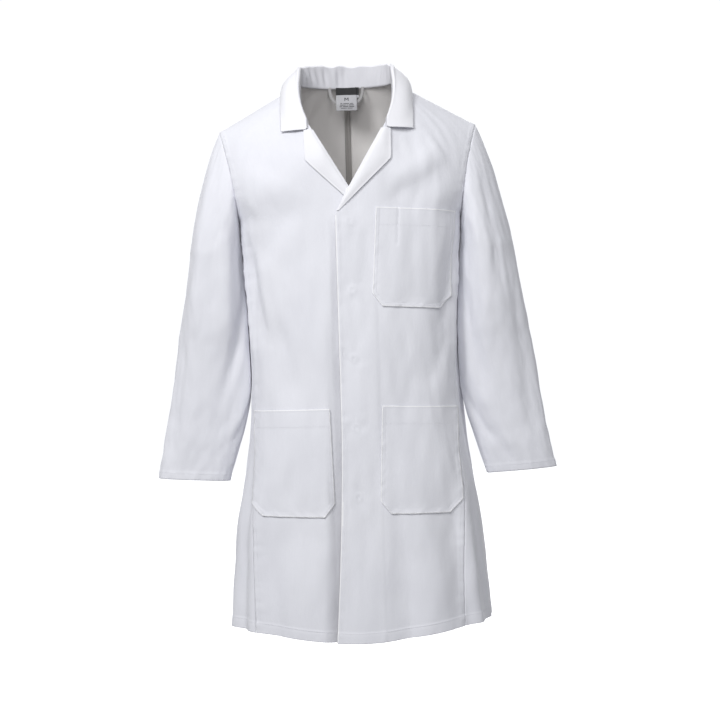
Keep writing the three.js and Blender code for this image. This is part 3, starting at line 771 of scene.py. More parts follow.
# what is sewn under the front shows through as steps and dips
def frontRelief(side, across, drop):
    hem = turnedIn(coatCut["hem"] - drop, fronts["hemTurn"], 0.0007)
    facing = 0.0007 * (1 - ease((across - fronts["facing"]) / 0.003)) * ease((drop - 0.22) / 0.03)
    outer = np.where(drop > coatCut["underarm"], seamAcross(drop), armholeAcross(drop))
    edge = turnedIn(outer - across, fronts["seamTurn"], 0.0008) * ease((outer - across) / 0.003)
    closingEdge = across + coatCut["overlap"] + edgeDrift(side, drop)
    below = ease((drop - 0.225) / 0.02)
    margin = turnedIn(closingEdge, fronts["edgeTurn"], 0.0010, 0.0006) * below
    relief = hem + facing + edge + margin + pucker(closingEdge, drop, 0.010, 0.0008) * below
    relief = relief + pucker(outer - across, drop, 0.014, 0.0011)
    relief = relief + pucker(coatCut["hem"] - drop, across, 0.016, 0.0009)
    if side > 0:
        for stud in fronts["studs"]:
            off = np.hypot(across, drop - stud)
            relief = relief + 0.0014 * bell((off - 0.0050) / 0.0020) - 0.0011 * bell(off / 0.003)
            ripples = noiseAt(stack3(across * 60, drop * 60, across * 0 + 1.7))
            relief = relief + 0.0022 * ripples * bell(off / 0.022)
    return relief


def buildFront(side, word):
    across, drop = frontPlaces(side)
    grid, _ = frontAt(side, across, drop, frontRelief(side, across, drop))
    looks = [whiteTwill, insideShadeTwill]
    piece = clothPiece("front_" + word, grid, coatCut["ply"], looks, outwards=side < 0)
    closingEdge = across + coatCut["overlap"] + edgeDrift(side, drop)
    # painted highlight: the strip along the closing edge below the lapel
    paintQuads(piece, (closingEdge < fronts["highlightEdge"]) & (drop > coatCut["underarm"]), edgeHighlightTwill)
    hem = coatCut["hem"] - fronts["hemTurn"] + 0.001
    hemStart = -coatCut["overlap"] - float(edgeDrift(side, 0.96)) + 0.002
    hemEnd = float(seamAcross(0.95)) - 0.002
    sewFront(side, word, np.linspace(hemStart, hemEnd, 300), np.full(300, hem), 0.0006)
    rows = np.linspace(0.24, 0.98, 300)
    sewFront(side, word, seamAcross(rows) - fronts["seamStitch"], rows, 0.0006)
    rows = np.linspace(0.072, 0.232, 120)
    sewFront(side, word, armholeAcross(rows) - fronts["seamStitch"], rows, 0.0006)
    rows = np.linspace(0.245, 0.975, 320)
    closingStitch = fronts["edgeStitch"] - coatCut["overlap"] - edgeDrift(side, rows)
    sewFront(side, word, closingStitch, rows, 0.0011)
    return piece


# the stretch between the coat and a front's swinging part; a piece given it is fixed in place where it was
# built
frontSpan = ((0, -0.12, -0.430), (0, -0.12, -0.700))
frontPieces = {}
for side, word in ((1, "left"), (-1, "right")):
    frontPieces[word] = buildFront(side, word)
print("fronts made")


# facings, fly strip and studs inside the closing edge; places run from the closing edge in
inner = {
    "facingTop": 0.240,
    "facingIn": 0.001,
    "facingWidth": 0.065,
    "facingLift": -0.0013,
    "facingShort": 0.002,
    "flyIn": 0.004,
    "flyWidth": 0.044,
    "flyTop": 0.2402,
    "flyBottom": 0.790,
    "flyLift": -0.0026,
    "rows": 160,
}


def innerPly(name, side, start, width, top, bottom, lift):
    near = start - coatCut["overlap"]
    far = near + width
    rows = np.linspace(bottom, top, inner["rows"])
    drop, share = np.meshgrid(rows, rowFractions(16, 3, 0.04), indexing="ij")
    across = mix(near - edgeDrift(side, drop), far, share)
    hang = 0.0004 * noiseAt(stack3(across * 40, drop * 16, across * 0 + lift * 900))
    grid, _ = frontAt(side, across, drop, lift + hang * ease((across - near) / 0.02))
    return clothPiece(name, grid, coatCut["ply"], [whiteTwill, insideShadeTwill], outwards=side < 0)


facingPieces = {}
for side, word in ((1, "left"), (-1, "right")):
    facingPieces[word] = innerPly(
        "facing_" + word, side, inner["facingIn"], inner["facingWidth"], inner["facingTop"],
        coatCut["hem"] - inner["facingShort"], inner["facingLift"],
    )
flyPiece = innerPly(
    "fly_strip", 1, inner["flyIn"], inner["flyWidth"], inner["flyTop"], inner["flyBottom"],
    inner["flyLift"],
)

# half outlines of a stud's two parts as (radius, height)
stud = {
    "post": [
        (0, 0.0011), (0.0016, 0.0011), (0.0020, 0.0007), (0.0023, 0.0003),
        (0.0046, 0.0002), (0.0054, 0.0006), (0.0060, 0.0003), (0.0060, -0.0003),
    ],
    "socket": [
        (0, -0.0001), (0.0021, -0.0001), (0.0026, 0.0005), (0.0034, 0.0006),
        (0.0040, 0.0001), (0.0054, 0.0003), (0.0060, 0.0), (0.0060, -0.0005),
    ],
    "postLift": 0.0008,
    "socketLift": -0.0034,
    "turns": 28,
}


def studPiece(name, profile, side, lift, facing):
    points, faces = [], []
    turns = stud["turns"]
    for drop in fronts["studs"]:
        centre, normal = frontAt(side, np.array([0.0]), np.array([drop]), lift)
        out = normal[0] * facing
        right = unitVectors(np.cross(out, np.array([0.0, 0.0, 1.0])))
        up = np.cross(right, out)
        start = len(points)
        for radius, high in profile:
            for k in range(turns):
                a = 2 * math.pi * k / turns
                reach = max(radius, 0.0002)
                points.append(centre[0] + out * high + (right * math.cos(a) + up * math.sin(a)) * reach)
        rings = len(profile)
        for r in range(rings - 1):
            for k in range(turns):
                a, b = start + r * turns + k, start + r * turns + (k + 1) % turns
                faces.append((a, b, b + turns, a + turns))
        faces.append(tuple(start + k for k in range(turns))[::-1])
        faces.append(tuple(start + (rings - 1) * turns + k for k in range(turns)))
    mesh = bpy.data.meshes.new(name)
    mesh.from_pydata([tuple(p) for p in points], [], faces)
    mesh.polygons.foreach_set("use_smooth", np.ones(len(faces), bool))
    mesh.materials.append(studMetal)
    piece = bpy.data.objects.new(name, mesh)
    bpy.context.scene.collection.objects.link(piece)
    return piece


posts = studPiece("stud_posts", stud["post"], -1, stud["postLift"], 1)
sockets = studPiece("stud_sockets", stud["socket"], 1, stud["socketLift"], -1)
print("closing made")


lapel = {
    "top": 0.0845,
    "cornerDrop": 0.139,
    "cornerAcross": 0.0765,
    "cornerRound": 0.0008,
    "endDrop": 0.231,
    "endWidth": 0.0035,
    "roll": 0.0021,
    "rollIn": 0.0018,
    "above": 0.0004,
    "bulge": 0.0030,
    "tip": 0.0027,
    "taper": 0.035,
    "thickness": 0.0016,
}


def lapelOuter(drop):
    end = rollAcross(lapel["endDrop"]) + lapel["endWidth"]
    t = clamp01((drop - lapel["cornerDrop"]) / (lapel["endDrop"] - lapel["cornerDrop"]))
    rounded = lapel["cornerRound"] * bell((drop - lapel["cornerDrop"]) / 0.006)
    return mix(lapel["cornerAcross"], end, t) - rounded


# the facing turned out: it comes from inside, goes round the edge of the front and lies on it
def buildLapel(side, word):
    rows = spaced(np.unique(np.concatenate([np.linspace(0, 1, 90), np.linspace(0.33, 0.41, 14)])), 0.003)
    drop = mix(lapel["endDrop"], lapel["top"], rows)[:, None]
    turn = np.linspace(-1, 1, 15)[None, :] * math.pi / 2
    taper = mix(0.30, 1, ease((lapel["endDrop"] - drop) / lapel["taper"]))
    radius, above = lapel["roll"] * taper, lapel["above"]
    roll = rollAcross(drop)
    insideAcross = roll + 0.012 - np.linspace(0, 0.010, 6)[None, :]
    insideLift = above - radius + 0 * insideAcross
    roundAcross = roll + lapel["rollIn"] - radius * 1.5 * np.cos(turn)
    roundLift = radius * np.sin(turn) + above
    outer = lapelOuter(drop)
    share = np.linspace(0.02, 1, 34)[None, :]
    flatAcross = mix(roll + lapel["rollIn"], outer, share)
    lie = mix(radius + above, lapel["tip"] * taper, ease(share / 0.5))
    width = np.maximum(outer - roll, 0.001)
    flatLift = lie + lapel["bulge"] * np.sin(math.pi * share ** 0.6) * clamp01(width / 0.03)
    flatLift = flatLift + 0.0006 * bell((1 - share) * width / 0.003)
    across = np.concatenate([insideAcross + 0 * drop, roundAcross, flatAcross], axis=1)
    lift = np.concatenate([insideLift + 0 * drop, roundLift + 0 * drop, flatLift], axis=1)
    grid, _ = frontAt(side, across, drop + 0 * across, lift)
    # the lapel is the lighter copy, painted light
    return clothPiece("lapel_" + word, grid, lapel["thickness"], [paintedLightTwill], outwards=side < 0)


lapelPieces = {word: buildLapel(side, word) for side, word in ((1, "left"), (-1, "right"))}
print("lapels made")


# how far below the neck the top edge of a node lies
def boxTop(node):
    return -float(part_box(node)[1][2])


pockets = {
    "chest_pocket": {
        "side": 1, "word": "left", "top": boxTop("chest_pocket"), "height": 0.176, "width": 0.142,
        "across": 0.046, "lean": 0.012, "flare": 0.0, "penSlot": 0.040, "slotLength": 0.062, "tilt": 0.006,
    },
    "lower_pocket_left": {
        "side": 1, "word": "left", "top": boxTop("lower_pocket_left"), "height": 0.190, "width": 0.136,
        "across": 0.046, "lean": 0.004, "flare": 0.004, "penSlot": 0, "slotLength": 0, "tilt": 0.006,
    },
    "lower_pocket_right": {
        "side": -1, "word": "right", "top": boxTop("lower_pocket_right"), "height": 0.190, "width": 0.136,
        "across": 0.046, "lean": 0.0, "flare": 0.004, "penSlot": 0, "slotLength": 0, "tilt": 0.0,
    },
}
pocketMake = {
    "chamfer": 0.023,
    "chamferIn": 0.0185,
    "topHem": 0.032,
    "edge": 0.0050,
    "lift": 0.0011,
    "gape": 0.0016,
    "bag": 0.0030,
    "quilt": 0.0016,
    "stitchIn": 0.0018,
    "secondRow": 0.0052,
    "hemStitch": 0.0015,
    # widths of the painted highlight along the pocket's sewn edges and along its top
    "highlightEdge": 0.0021,
    "highlightTop": 0.0023,
}


def pocketOutline(p):
    chamfer, end = pocketMake["chamfer"], p["height"]
    left = p["across"] - p["lean"] - p["flare"]
    right = p["across"] + p["width"] - p["lean"] + p["flare"]
    up = p["lean"] * chamfer / end
    return [
        (p["across"], 0.0), (left + up, end - chamfer), (left + pocketMake["chamferIn"], end),
        (right - pocketMake["chamferIn"], end), (right + up, end - chamfer), (p["across"] + p["width"], 0.0),
    ]


# how far in from the sewn sides and bottom
def edgeDistance(x, y, outline):
    least = np.full(x.shape, 9.0)
    for (ax, ay), (bx, by) in zip(outline, outline[1:]):
        t = clamp01(((x - ax) * (bx - ax) + (y - ay) * (by - ay)) / ((bx - ax) ** 2 + (by - ay) ** 2))
        least = np.minimum(least, np.hypot(x - mix(ax, bx, t), y - mix(ay, by, t)))
    return least


def buildPocket(name, p):
    outline = pocketOutline(p)
    side, end, make = p["side"], p["height"], pocketMake
    atHem = make["topHem"] / end + np.linspace(-0.012, 0.012, 5)
    atChamfer = 1 - make["chamfer"] / end * np.linspace(0, 1.1, 14)
    rows = spaced(np.unique(np.concatenate([rowFractions(70, 6, 0.05), atChamfer, atHem])), 0.003)
    down = rows * end
    lx, ly = zip(*outline[:3])
    rx, ry = zip(*outline[:2:-1])
    left, right = np.interp(down, ly, lx), np.interp(down, ry, rx)
    columns = rowFractions(60, 7, 0.07)
    x = mix(left[:, None], right[:, None], columns[None, :])
    y = down[:, None] + 0 * x
    edge = edgeDistance(x, y, outline)
    middle = clamp01((x - left[:, None]) / (right - left)[:, None])
    lift = make["lift"] + turnedIn(edge, make["edge"], 0.0009, 0.0005) + 0.0006 * bell(edge / 0.0014)
    lift = lift + turnedIn(y, make["topHem"], 0.0002, 0.0001)
    lift = lift + 0.0007 * bell(y / 0.0016)
    gape = make["gape"] * np.sin(math.pi * middle) ** 0.7 * np.exp(-y / 0.045)
    bag = make["bag"] * np.sin(math.pi * middle) * np.sin(math.pi * clamp01(y / end))
    quilt = make["quilt"] * noiseAt(stack3(x * 30, y * 14, x * 0 + p["width"] * 50 + side))
    lift = lift + gape + bag + quilt * ease(edge / 0.02)
    lift = lift + pucker(edge, x + y, 0.009, 0.0009)
    if p["penSlot"]:
        away = np.abs(x - p["across"] - p["penSlot"] + p["lean"] * y / end)
        lift = lift - 0.0011 * bell(away / 0.0022) * (1 - ease((y - p["slotLength"]) / 0.008))
    level = p["top"] + p["tilt"] * middle - p["tilt"] / 2
    grid, normals = frontAt(side, x, y + level, lift)
    piece = clothPiece(name, grid[::-1], coatCut["ply"], [whiteTwill], outwards=side < 0)
    # painted highlight along the pocket's sewn edges and top
    paintQuads(piece, ((edge < make["highlightEdge"]) | (y < make["highlightTop"]))[::-1], edgeHighlightTwill)

    top = grid + normals * clothTop
    places = [np.arange(len(rows)), np.arange(len(columns))]

    # a line of stitches at the pocket's own places, laid on the surface just made
    def sew(px, py):
        px, py = np.asarray(px, float), np.asarray(py, float)
        leftEdge, rightEdge = np.interp(py, ly, lx), np.interp(py, ry, rx)
        share = clamp01((px - leftEdge) / (rightEdge - leftEdge))
        r, c = np.interp(py / end, rows, places[0]), np.interp(share, columns, places[1])
        r0, c0 = np.minimum(r.astype(int), len(rows) - 2), np.minimum(c.astype(int), len(columns) - 2)
        fr, fc = (r - r0)[:, None], (c - c0)[:, None]
        near = mix(top[r0, c0], top[r0, c0 + 1], fc)
        line = mix(near, mix(top[r0 + 1, c0], top[r0 + 1, c0 + 1], fc), fr)
        stitches[p["word"]].append(stitchesAlong(line, normals[r0, c0]))

    sewnTwice = name == "chest_pocket"
    for second in (0.0, make["secondRow"])[:1 + sewnTwice]:
        off = make["stitchIn"] + second
        ring = [
            (outline[0][0] + off, 0.002), (outline[1][0] + off, outline[1][1] - off * 0.4),
            (outline[2][0] + off * 0.5, end - off), (outline[3][0] - off * 0.5, end - off),
            (outline[4][0] - off, outline[4][1] - off * 0.4), (outline[5][0] - off, 0.002),
        ]
        for a, b in zip(ring, ring[1:]):
            t = np.linspace(0, 1, 60)
            sew(mix(a[0], b[0], t), mix(a[1], b[1], t))
    t = np.linspace(0.02, 0.98, 90)
    hemLine = make["topHem"] - make["hemStitch"]
    sew(mix(float(np.interp(hemLine, ly, lx)), float(np.interp(hemLine, ry, rx)), t), np.full(90, hemLine))
    if p["penSlot"]:
        down = np.linspace(0.003, p["slotLength"], 60)
        sew(p["across"] + p["penSlot"] - p["lean"] * down / end, down)
    return piece


pocketPieces = {name: buildPocket(name, p) for name, p in pockets.items()}
print("pockets made")


backColumns = 110


def backPlaces(side):
    cut = coatCut
    fine = np.linspace(0, 1, 700)
    p = cut["squareness"]
    shrink = cut["join"]
    rows = []
    for v in lowSteps:
        drop = mix(cut["hem"], cut["underarm"], v)
        a = float(halfWidth(drop))
        reach = float(seamAcross(drop)) + shrink * float(ease((drop - cut["underarm"]) / 0.04))
        share = min(1.0, reach / a)
        angle = mix(math.pi / 2, -math.acos(share ** (p / 2)), fine)
        across = np.maximum(0, np.cos(angle)) ** (2 / p)
        deep = np.abs(np.sin(angle)) ** (2 / p)
        depth = np.where(angle > 0, along(cut["backDepths"], drop), along(cut["frontDepths"], drop))
        y = (depth * deep + cut["seamGap"] / 2) * np.where(angle < 0, -1, 1)
        rows.append(stack3(side * np.maximum(shrink, a * across), y, np.full_like(y, -drop)))
    span = np.cos(math.pi / 2 * (1 - fine)) ** (2 / p)
    for t in highSteps:
        outer = float(armholeAcross(mix(cut["underarm"], cut["shoulderTip"], t))) - shrink * min(1, 8 * t)
        across = np.maximum(shrink, outer * span)
        topAcross = cut["shoulderHalf"] * span
        neckTop = mix(-cut["napeRise"], -cut["neckRise"], clamp01(topAcross / cut["neckHalf"]))
        top = np.where(topAcross < cut["neckHalf"], neckTop, shoulderDrop(topAcross))
        drop = mix(cut["underarm"], top, t)
        rows.append(stack3(side * across, backY(across, drop), -drop))
    return resample(np.array(rows), rowFractions(backColumns))


def buildBack(side, word):
    base = backPlaces(side)
    turn = fronts["hemTurn"]
    normals = gridNormals(base) * -side
    across, drop = np.abs(base[..., 0]), -base[..., 2]
    behind = base[..., 1] > 0
    relief = turnedIn(coatCut["hem"] - drop, turn, 0.0007)
    centre = np.where(behind, across, 1.0)
    relief = relief + turnedIn(centre, 0.0065, 0.0007)
    relief = relief + pucker(centre, drop, 0.012, 0.0009)
    relief = relief + pucker(coatCut["hem"] - drop, across, 0.016, 0.0009)
    outer = armholeAcross(drop) - across
    above = drop < coatCut["underarm"]
    relief = relief + np.where(above, turnedIn(outer, fronts["seamTurn"], 0.0008), 0)
    shoulder = np.where(across > coatCut["neckHalf"], drop - shoulderDrop(across), 1.0)
    relief = relief + np.where(above, turnedIn(shoulder, 0.006, 0.0006), 0)
    lift = foldHeight(base) + relief
    grid = base + hemShift(base) + normals * lift[..., None]
    looks = [whiteTwill, insideShadeTwill]
    piece = clothPiece("back_" + word, grid, coatCut["ply"], looks, outwards=side > 0)
    top = grid + normals * clothTop
    hemRow = int(np.argmin(np.abs(lowSteps - (turn - 0.001) / fronts["skirtLength"])))
    stitches["back"].append(stitchesAlong(top[hemRow], normals[hemRow]))
    column = int(np.argmin(np.abs(across[40] - 0.0052) + 9 * (~behind[40])))
    stitches["back"].append(stitchesAlong(top[:, column], normals[:, column]))
    armholeColumn = -4
    high = len(lowSteps)
    armhole = stitchesAlong(top[high:, armholeColumn], normals[high:, armholeColumn])
    stitches["back"].append(armhole)
    return piece


backPieces = {word: buildBack(side, word) for side, word in ((1, "left"), (-1, "right"))}


# the centre seam's allowance, pressed open inside; its dark grey is painted shadow down the seam
backSeamCut = {"width": 0.011, "inside": 0.0019, "ridge": 0.0007}


def buildBackSeam():
    half = backSeamCut["width"] / 2
    down = np.linspace(coatCut["hem"] - 0.008, -0.010, 190)
    drop, across = np.meshgrid(down, np.linspace(-half, half, 9), indexing="ij")
    base = stack3(across, backY(np.abs(across), drop), -drop)
    normals = gridNormals(base)
    inward = normals * np.sign(-normals[..., 1:2])
    ridge = backSeamCut["inside"] + backSeamCut["ridge"] * bell((np.abs(across) - 0.0042) / 0.0012)
    grid = base + hemShift(base) + inward * (ridge - foldHeight(base))[..., None]
    return clothPiece("back_seam", grid, coatCut["ply"], [seamShadowTwill], outwards=False)


backSeam = buildBackSeam()
sideSeam = {"top": 0.46, "bottom": 0.004, "width": 0.008, "inside": 0.0018}


# the seam allowance inside each side seam, which shows when a front swings open
def buildSideSeam(side, word):
    rows = np.linspace(coatCut["hem"] - sideSeam["bottom"], sideSeam["top"], 170)
    drop, inwards = np.meshgrid(rows, np.linspace(-0.001, sideSeam["width"], 8), indexing="ij")
    grid, _ = frontAt(side, seamAcross(drop) - inwards, drop, -sideSeam["inside"])
    # the whole side seam allowance carries the inside copy, painted shade
    return clothPiece("side_seam_" + word, grid, coatCut["ply"], [insideShadeTwill], outwards=side > 0)


sideSeams = {word: buildSideSeam(side, word) for side, word in ((1, "left"), (-1, "right"))}
print("back made")


sleeveCut = {
    "outer": [(0, 0.296), (1, 0.312), (2, 0.326), (3, 0.341), (4, 0.354), (5, 0.366)],
    "inner": [(0, 0.1970), (1, 0.1915), (2, 0.1880), (3, 0.1970), (4, 0.219), (5, 0.237)],
    "depth": [(0, 0.076), (1, 0.064), (2, 0.049), (3, 0.034), (4, 0.029), (5, 0.027)],
    "drop": [(0, 0.300), (1, 0.400), (2, 0.476), (3, 0.570), (4, 0.645), (5, 0.706)],
    "tilt": [(0, 0.12), (1, 0.12), (2, 0.10), (3, 0.08), (4, 0.07), (5, 0.06)],
    "swing": -0.012,
    "start": 0.0002,
    "length": 0.56,
    "headShare": 0.28,
    "cuffTurn": 0.018,
    "columns": 128,
    "headRows": 46,
    "armRows": 132,
}
# folds on a sleeve: (turn, place) to (turn, place), width in radians, height; turn 0 is the
# outer side and 90 degrees the front, place runs from 0 at the shoulder to 1 at the cuff
sleeveFolds = {
    "left": [
        (62, 0.02, 78, 0.42, 0.22, -0.0050),
        (108, 0.10, 96, 0.62, 0.24, 0.0055),
        (150, 0.30, 112, 0.74, 0.16, -0.0065),
        (176, 0.20, 168, 0.60, 0.20, 0.0050),
        (40, 0.35, 58, 0.95, 0.22, -0.0045),
        (22, 0.10, 26, 0.60, 0.22, 0.0035),
        (128, 0.62, 86, 0.98, 0.16, 0.0040),
        (160, 0.66, 118, 0.90, 0.14, -0.0045),
        (290, 0.10, 270, 0.70, 0.26, -0.0060),
        (246, 0.20, 236, 0.80, 0.24, 0.0055),
        (210, 0.40, 250, 0.66, 0.18, -0.0055),
        (325, 0.30, 318, 0.90, 0.22, 0.0040),
    ],
    "right": [
        (48, 0.04, 60, 0.55, 0.24, 0.0055),
        (88, 0.06, 92, 0.50, 0.20, -0.0045),
        (120, 0.12, 108, 0.60, 0.20, 0.0050),
        (158, 0.34, 108, 0.72, 0.15, -0.0075),
        (172, 0.52, 134, 0.86, 0.16, 0.0055),
        (30, 0.40, 44, 0.96, 0.24, -0.0040),
        (74, 0.62, 66, 0.99, 0.20, 0.0035),
        (282, 0.12, 268, 0.72, 0.26, -0.0060),
        (240, 0.22, 232, 0.82, 0.24, 0.0055),
        (206, 0.42, 246, 0.64, 0.18, -0.0050),
        (322, 0.28, 316, 0.92, 0.22, 0.0040),
    ],
}


def ringAt(k, angle):
    cut = sleeveCut
    outer, innerEdge = along(cut["outer"], k), along(cut["inner"], k)
    drop = along(cut["drop"], k)
    half = (outer - innerEdge) / 2
    down = ease((drop - coatCut["underarm"]) / (cut["drop"][-1][1] - coatCut["underarm"]))
    out = np.cos(angle) * half
    y = cut["swing"] * down - np.sin(angle) * along(cut["depth"], k)
    return stack3((outer + innerEdge) / 2 + out, y, -drop + out * along(cut["tilt"], k))


def armholeRing(angle):
    middle = (coatCut["underarm"] + coatCut["shoulderTip"]) / 2
    reach = (coatCut["underarm"] - coatCut["shoulderTip"]) / 2
    drop = middle - np.cos(angle) * reach
    across = armholeAcross(drop)
    y = np.where(np.sin(angle) > 0, frontY(across, drop), backY(across, drop))
    return stack3(across + sleeveCut["start"], y, -drop)


# how far a sleeve point has to move out so that it lies against the coat's side
def clearOfBody(grid, side):
    drop, y = -grid[..., 2], grid[..., 1]
    depth = np.where(y < 0, along(coatCut["frontDepths"], drop), along(coatCut["backDepths"], drop))
    p = coatCut["squareness"]
    reach = halfWidth(drop) * (1 - np.minimum(1, np.abs(y) / depth) ** p) ** (1 / p)
    skin = stack3(side * reach, y, -drop)
    need = reach + foldHeight(skin) + 0.0025 - side * grid[..., 0]
    return np.maximum(0, need)


def sleeveGrid(side, word):
    cut = sleeveCut
    angle = np.linspace(0, 2 * math.pi, cut["columns"], endpoint=False)
    t = np.linspace(0, 1, cut["headRows"])[:, None, None]
    start, end = armholeRing(angle)[None], ringAt(np.zeros_like(angle), angle)[None]
    outward = np.array([0.55, 0, 0.12]) * np.maximum(0, np.cos(angle))[:, None]
    outward = outward + np.array([0.10, -0.55, 0.0]) * np.sin(angle)[:, None] * np.array([0, 1, 0])
    slopeStart = (end - start) + outward[None] * 0.075
    slopeEnd = (ringAt(np.full_like(angle, 0.15), angle) - end[0])[None] / 0.15 * 0.95
    head = (
        (2 * t ** 3 - 3 * t ** 2 + 1) * start + (t ** 3 - 2 * t ** 2 + t) * slopeStart
        + (3 * t ** 2 - 2 * t ** 3) * end + (t ** 3 - t ** 2) * slopeEnd
    )
    k = np.linspace(0, 5, cut["armRows"])[1:, None]
    arm = ringAt(k + 0 * angle[None], angle[None] + 0 * k)
    grid = np.concatenate([head, arm], axis=0)
    armPlace = cut["headShare"] + (1 - cut["headShare"]) * k[:, 0] / 5
    place = np.concatenate([t[:, 0, 0] * cut["headShare"], armPlace])[:, None] + 0 * angle[None]
    turn = angle[None] + 0 * place
    normals = gridNormals(grid, closed=True)
    height = np.zeros_like(place)
    for a0, p0, a1, p1, width, high in sleeveFolds[word]:
        share = (place - p0) / (p1 - p0)
        centre = np.radians(mix(a0, a1, clamp01(share)))
        off = (turn - centre + math.pi) % (2 * math.pi) - math.pi
        ends = ease(share / 0.35) * (1 - ease((share - 0.65) / 0.35))
        height += high * bell(off / np.where(off > 0, width, width * 1.6)) * ends
    wave = stack3(np.cos(turn) * 1.5 + side * 4, np.sin(turn) * 1.5, place * 5.0)
    height += 0.0026 * noiseAt(wave) + 0.0013 * noiseAt(wave * 3.3 + 5)
    height *= ease(place / 0.10)
    gathers = noiseAt(stack3(np.cos(turn) * 9 + side, np.sin(turn) * 9, place * 12))
    height += 0.0016 * gathers * bell((place - 0.035) / 0.035) * (0.4 + 0.6 * np.maximum(0, np.cos(turn)))
    fromCuff = (1 - place) * cut["length"]
    height += turnedIn(fromCuff, cut["cuffTurn"], 0.0007) + pucker(fromCuff, turn * 0.05, 0.016, 0.0010)
    grid = grid + normals * height[..., None]
    grid[..., 0] *= side
    normals[..., 0] *= side
    grid[..., 0] += side * clearOfBody(grid, side) * ease((place - 0.04) / 0.1)
    return grid, normals, fromCuff


# the stretch between the coat and a sleeve's lifting part; a piece given it is fixed in place where it was
# built
sleeveSpan = {side: ((side * 0.222, 0, -0.205), (side * 0.2964, 0, -0.2514)) for side in (1, -1)}
sleevePieces = {}
for side, word in ((1, "left"), (-1, "right")):
    grid, normals, fromCuff = sleeveGrid(side, word)
    looks = [whiteTwill, insideShadeTwill]
    sleevePieces[word] = clothPiece(
        "sleeve_" + word, grid, coatCut["ply"], looks, closed=True, outwards=side < 0,
    )
    near = int(np.argmin(np.abs(fromCuff[:, 0] - sleeveCut["cuffTurn"] + 0.0015)))
    out = np.concatenate([normals[near], normals[near][:1]])
    around = np.concatenate([grid[near], grid[near][:1]]) + out * clothTop
    stitches["sleeveLeft" if side > 0 else "sleeveRight"].append(stitchesAlong(around, out))
print("sleeves made")


collar = {
    "standHeight": 0.036,
    "roll": 0.012,
    "leafOuter": 0.121,
    "leafDrop": 0.082,
    "leafBackDrop": 0.004,
    "frontDrop": 0.0845,
    "innerEnd": 0.0705,
    "crumple": 0.0062,
    "fineCrumple": 0.0016,
    "sway": 0.0040,
    "bulge": 0.0055,
    "crease": 0.0035,
    "pulledIn": 0.001,
    "lowLift": 0.0016,
    "lapIn": 0.0012,
    "lapDown": 0.0050,
    "foldRadiusAtEnds": 0.0017,
    "foldRadius": 0.0034,
    "thickness": 0.0016,
    "standRows": 11,
    "shoulderDip": 0.008,
    "shoulderPull": 0.008,
}


# the neck seam; u runs from 0 at the right front end to 1 at the left one
def neckPoint(u):
    side = np.where(u < 0.5, -1.0, 1.0)
    t = np.abs(u - 0.5) * 2
    nape = coatCut["neckHalf"] * np.sin(np.minimum(t / 0.5, 1) * math.pi / 2)
    napeDrop = mix(-coatCut["napeRise"], -coatCut["neckRise"], nape / coatCut["neckHalf"])
    frontDrop = mix(-coatCut["neckRise"], collar["frontDrop"], clamp01((t - 0.5) / 0.5))
    rolled = np.maximum(rollAcross(frontDrop), collar["innerEnd"])
    across = np.where(t < 0.5, nape, rolled)
    drop = np.where(t < 0.5, napeDrop, frontDrop)
    forward = 0.0025 * ease((t - 0.6) / 0.3)
    y = np.where(t < 0.5, backY(nape, napeDrop), frontY(rolled, frontDrop) - forward)
    return stack3(side * across, y, -drop)


def collarTaper(u):
    return 1 - ease((np.abs(u - 0.5) * 2 - 0.45) / 0.55)


# the free edge of the leaf, which lies on the back and comes over the shoulder
def leafEdge(u):
    side = np.where(u < 0.5, -1.0, 1.0)
    t = np.abs(u - 0.5) * 2
    outer = collar["leafOuter"]
    turnDrop = float(shoulderDrop(np.array(outer)))
    back = outer * np.sin(np.minimum(t / 0.5, 1) * math.pi / 2)
    backLevel = mix(collar["leafBackDrop"], turnDrop, (back / outer) ** 2)
    backUp = 0.003 * clamp01(back / coatCut["neckHalf"])
    backEdge = stack3(side * back, backY(back, backLevel) + 0.003, -backLevel + backUp)
    s = clamp01((t - 0.5) / 0.5)
    frontLevel = mix(turnDrop, collar["leafDrop"], s)
    frontOut = outer - 0.002 * s
    safe = np.maximum(frontLevel, shoulderDrop(frontOut) + 0.0001)
    frontAhead = frontY(frontOut, safe) - 0.003 * clamp01(s * 4) - 0.002
    frontEdge = stack3(side * frontOut, frontAhead, -safe + 0.003 * (1 - s))
    return np.where((t < 0.5)[..., None], backEdge, frontEdge)


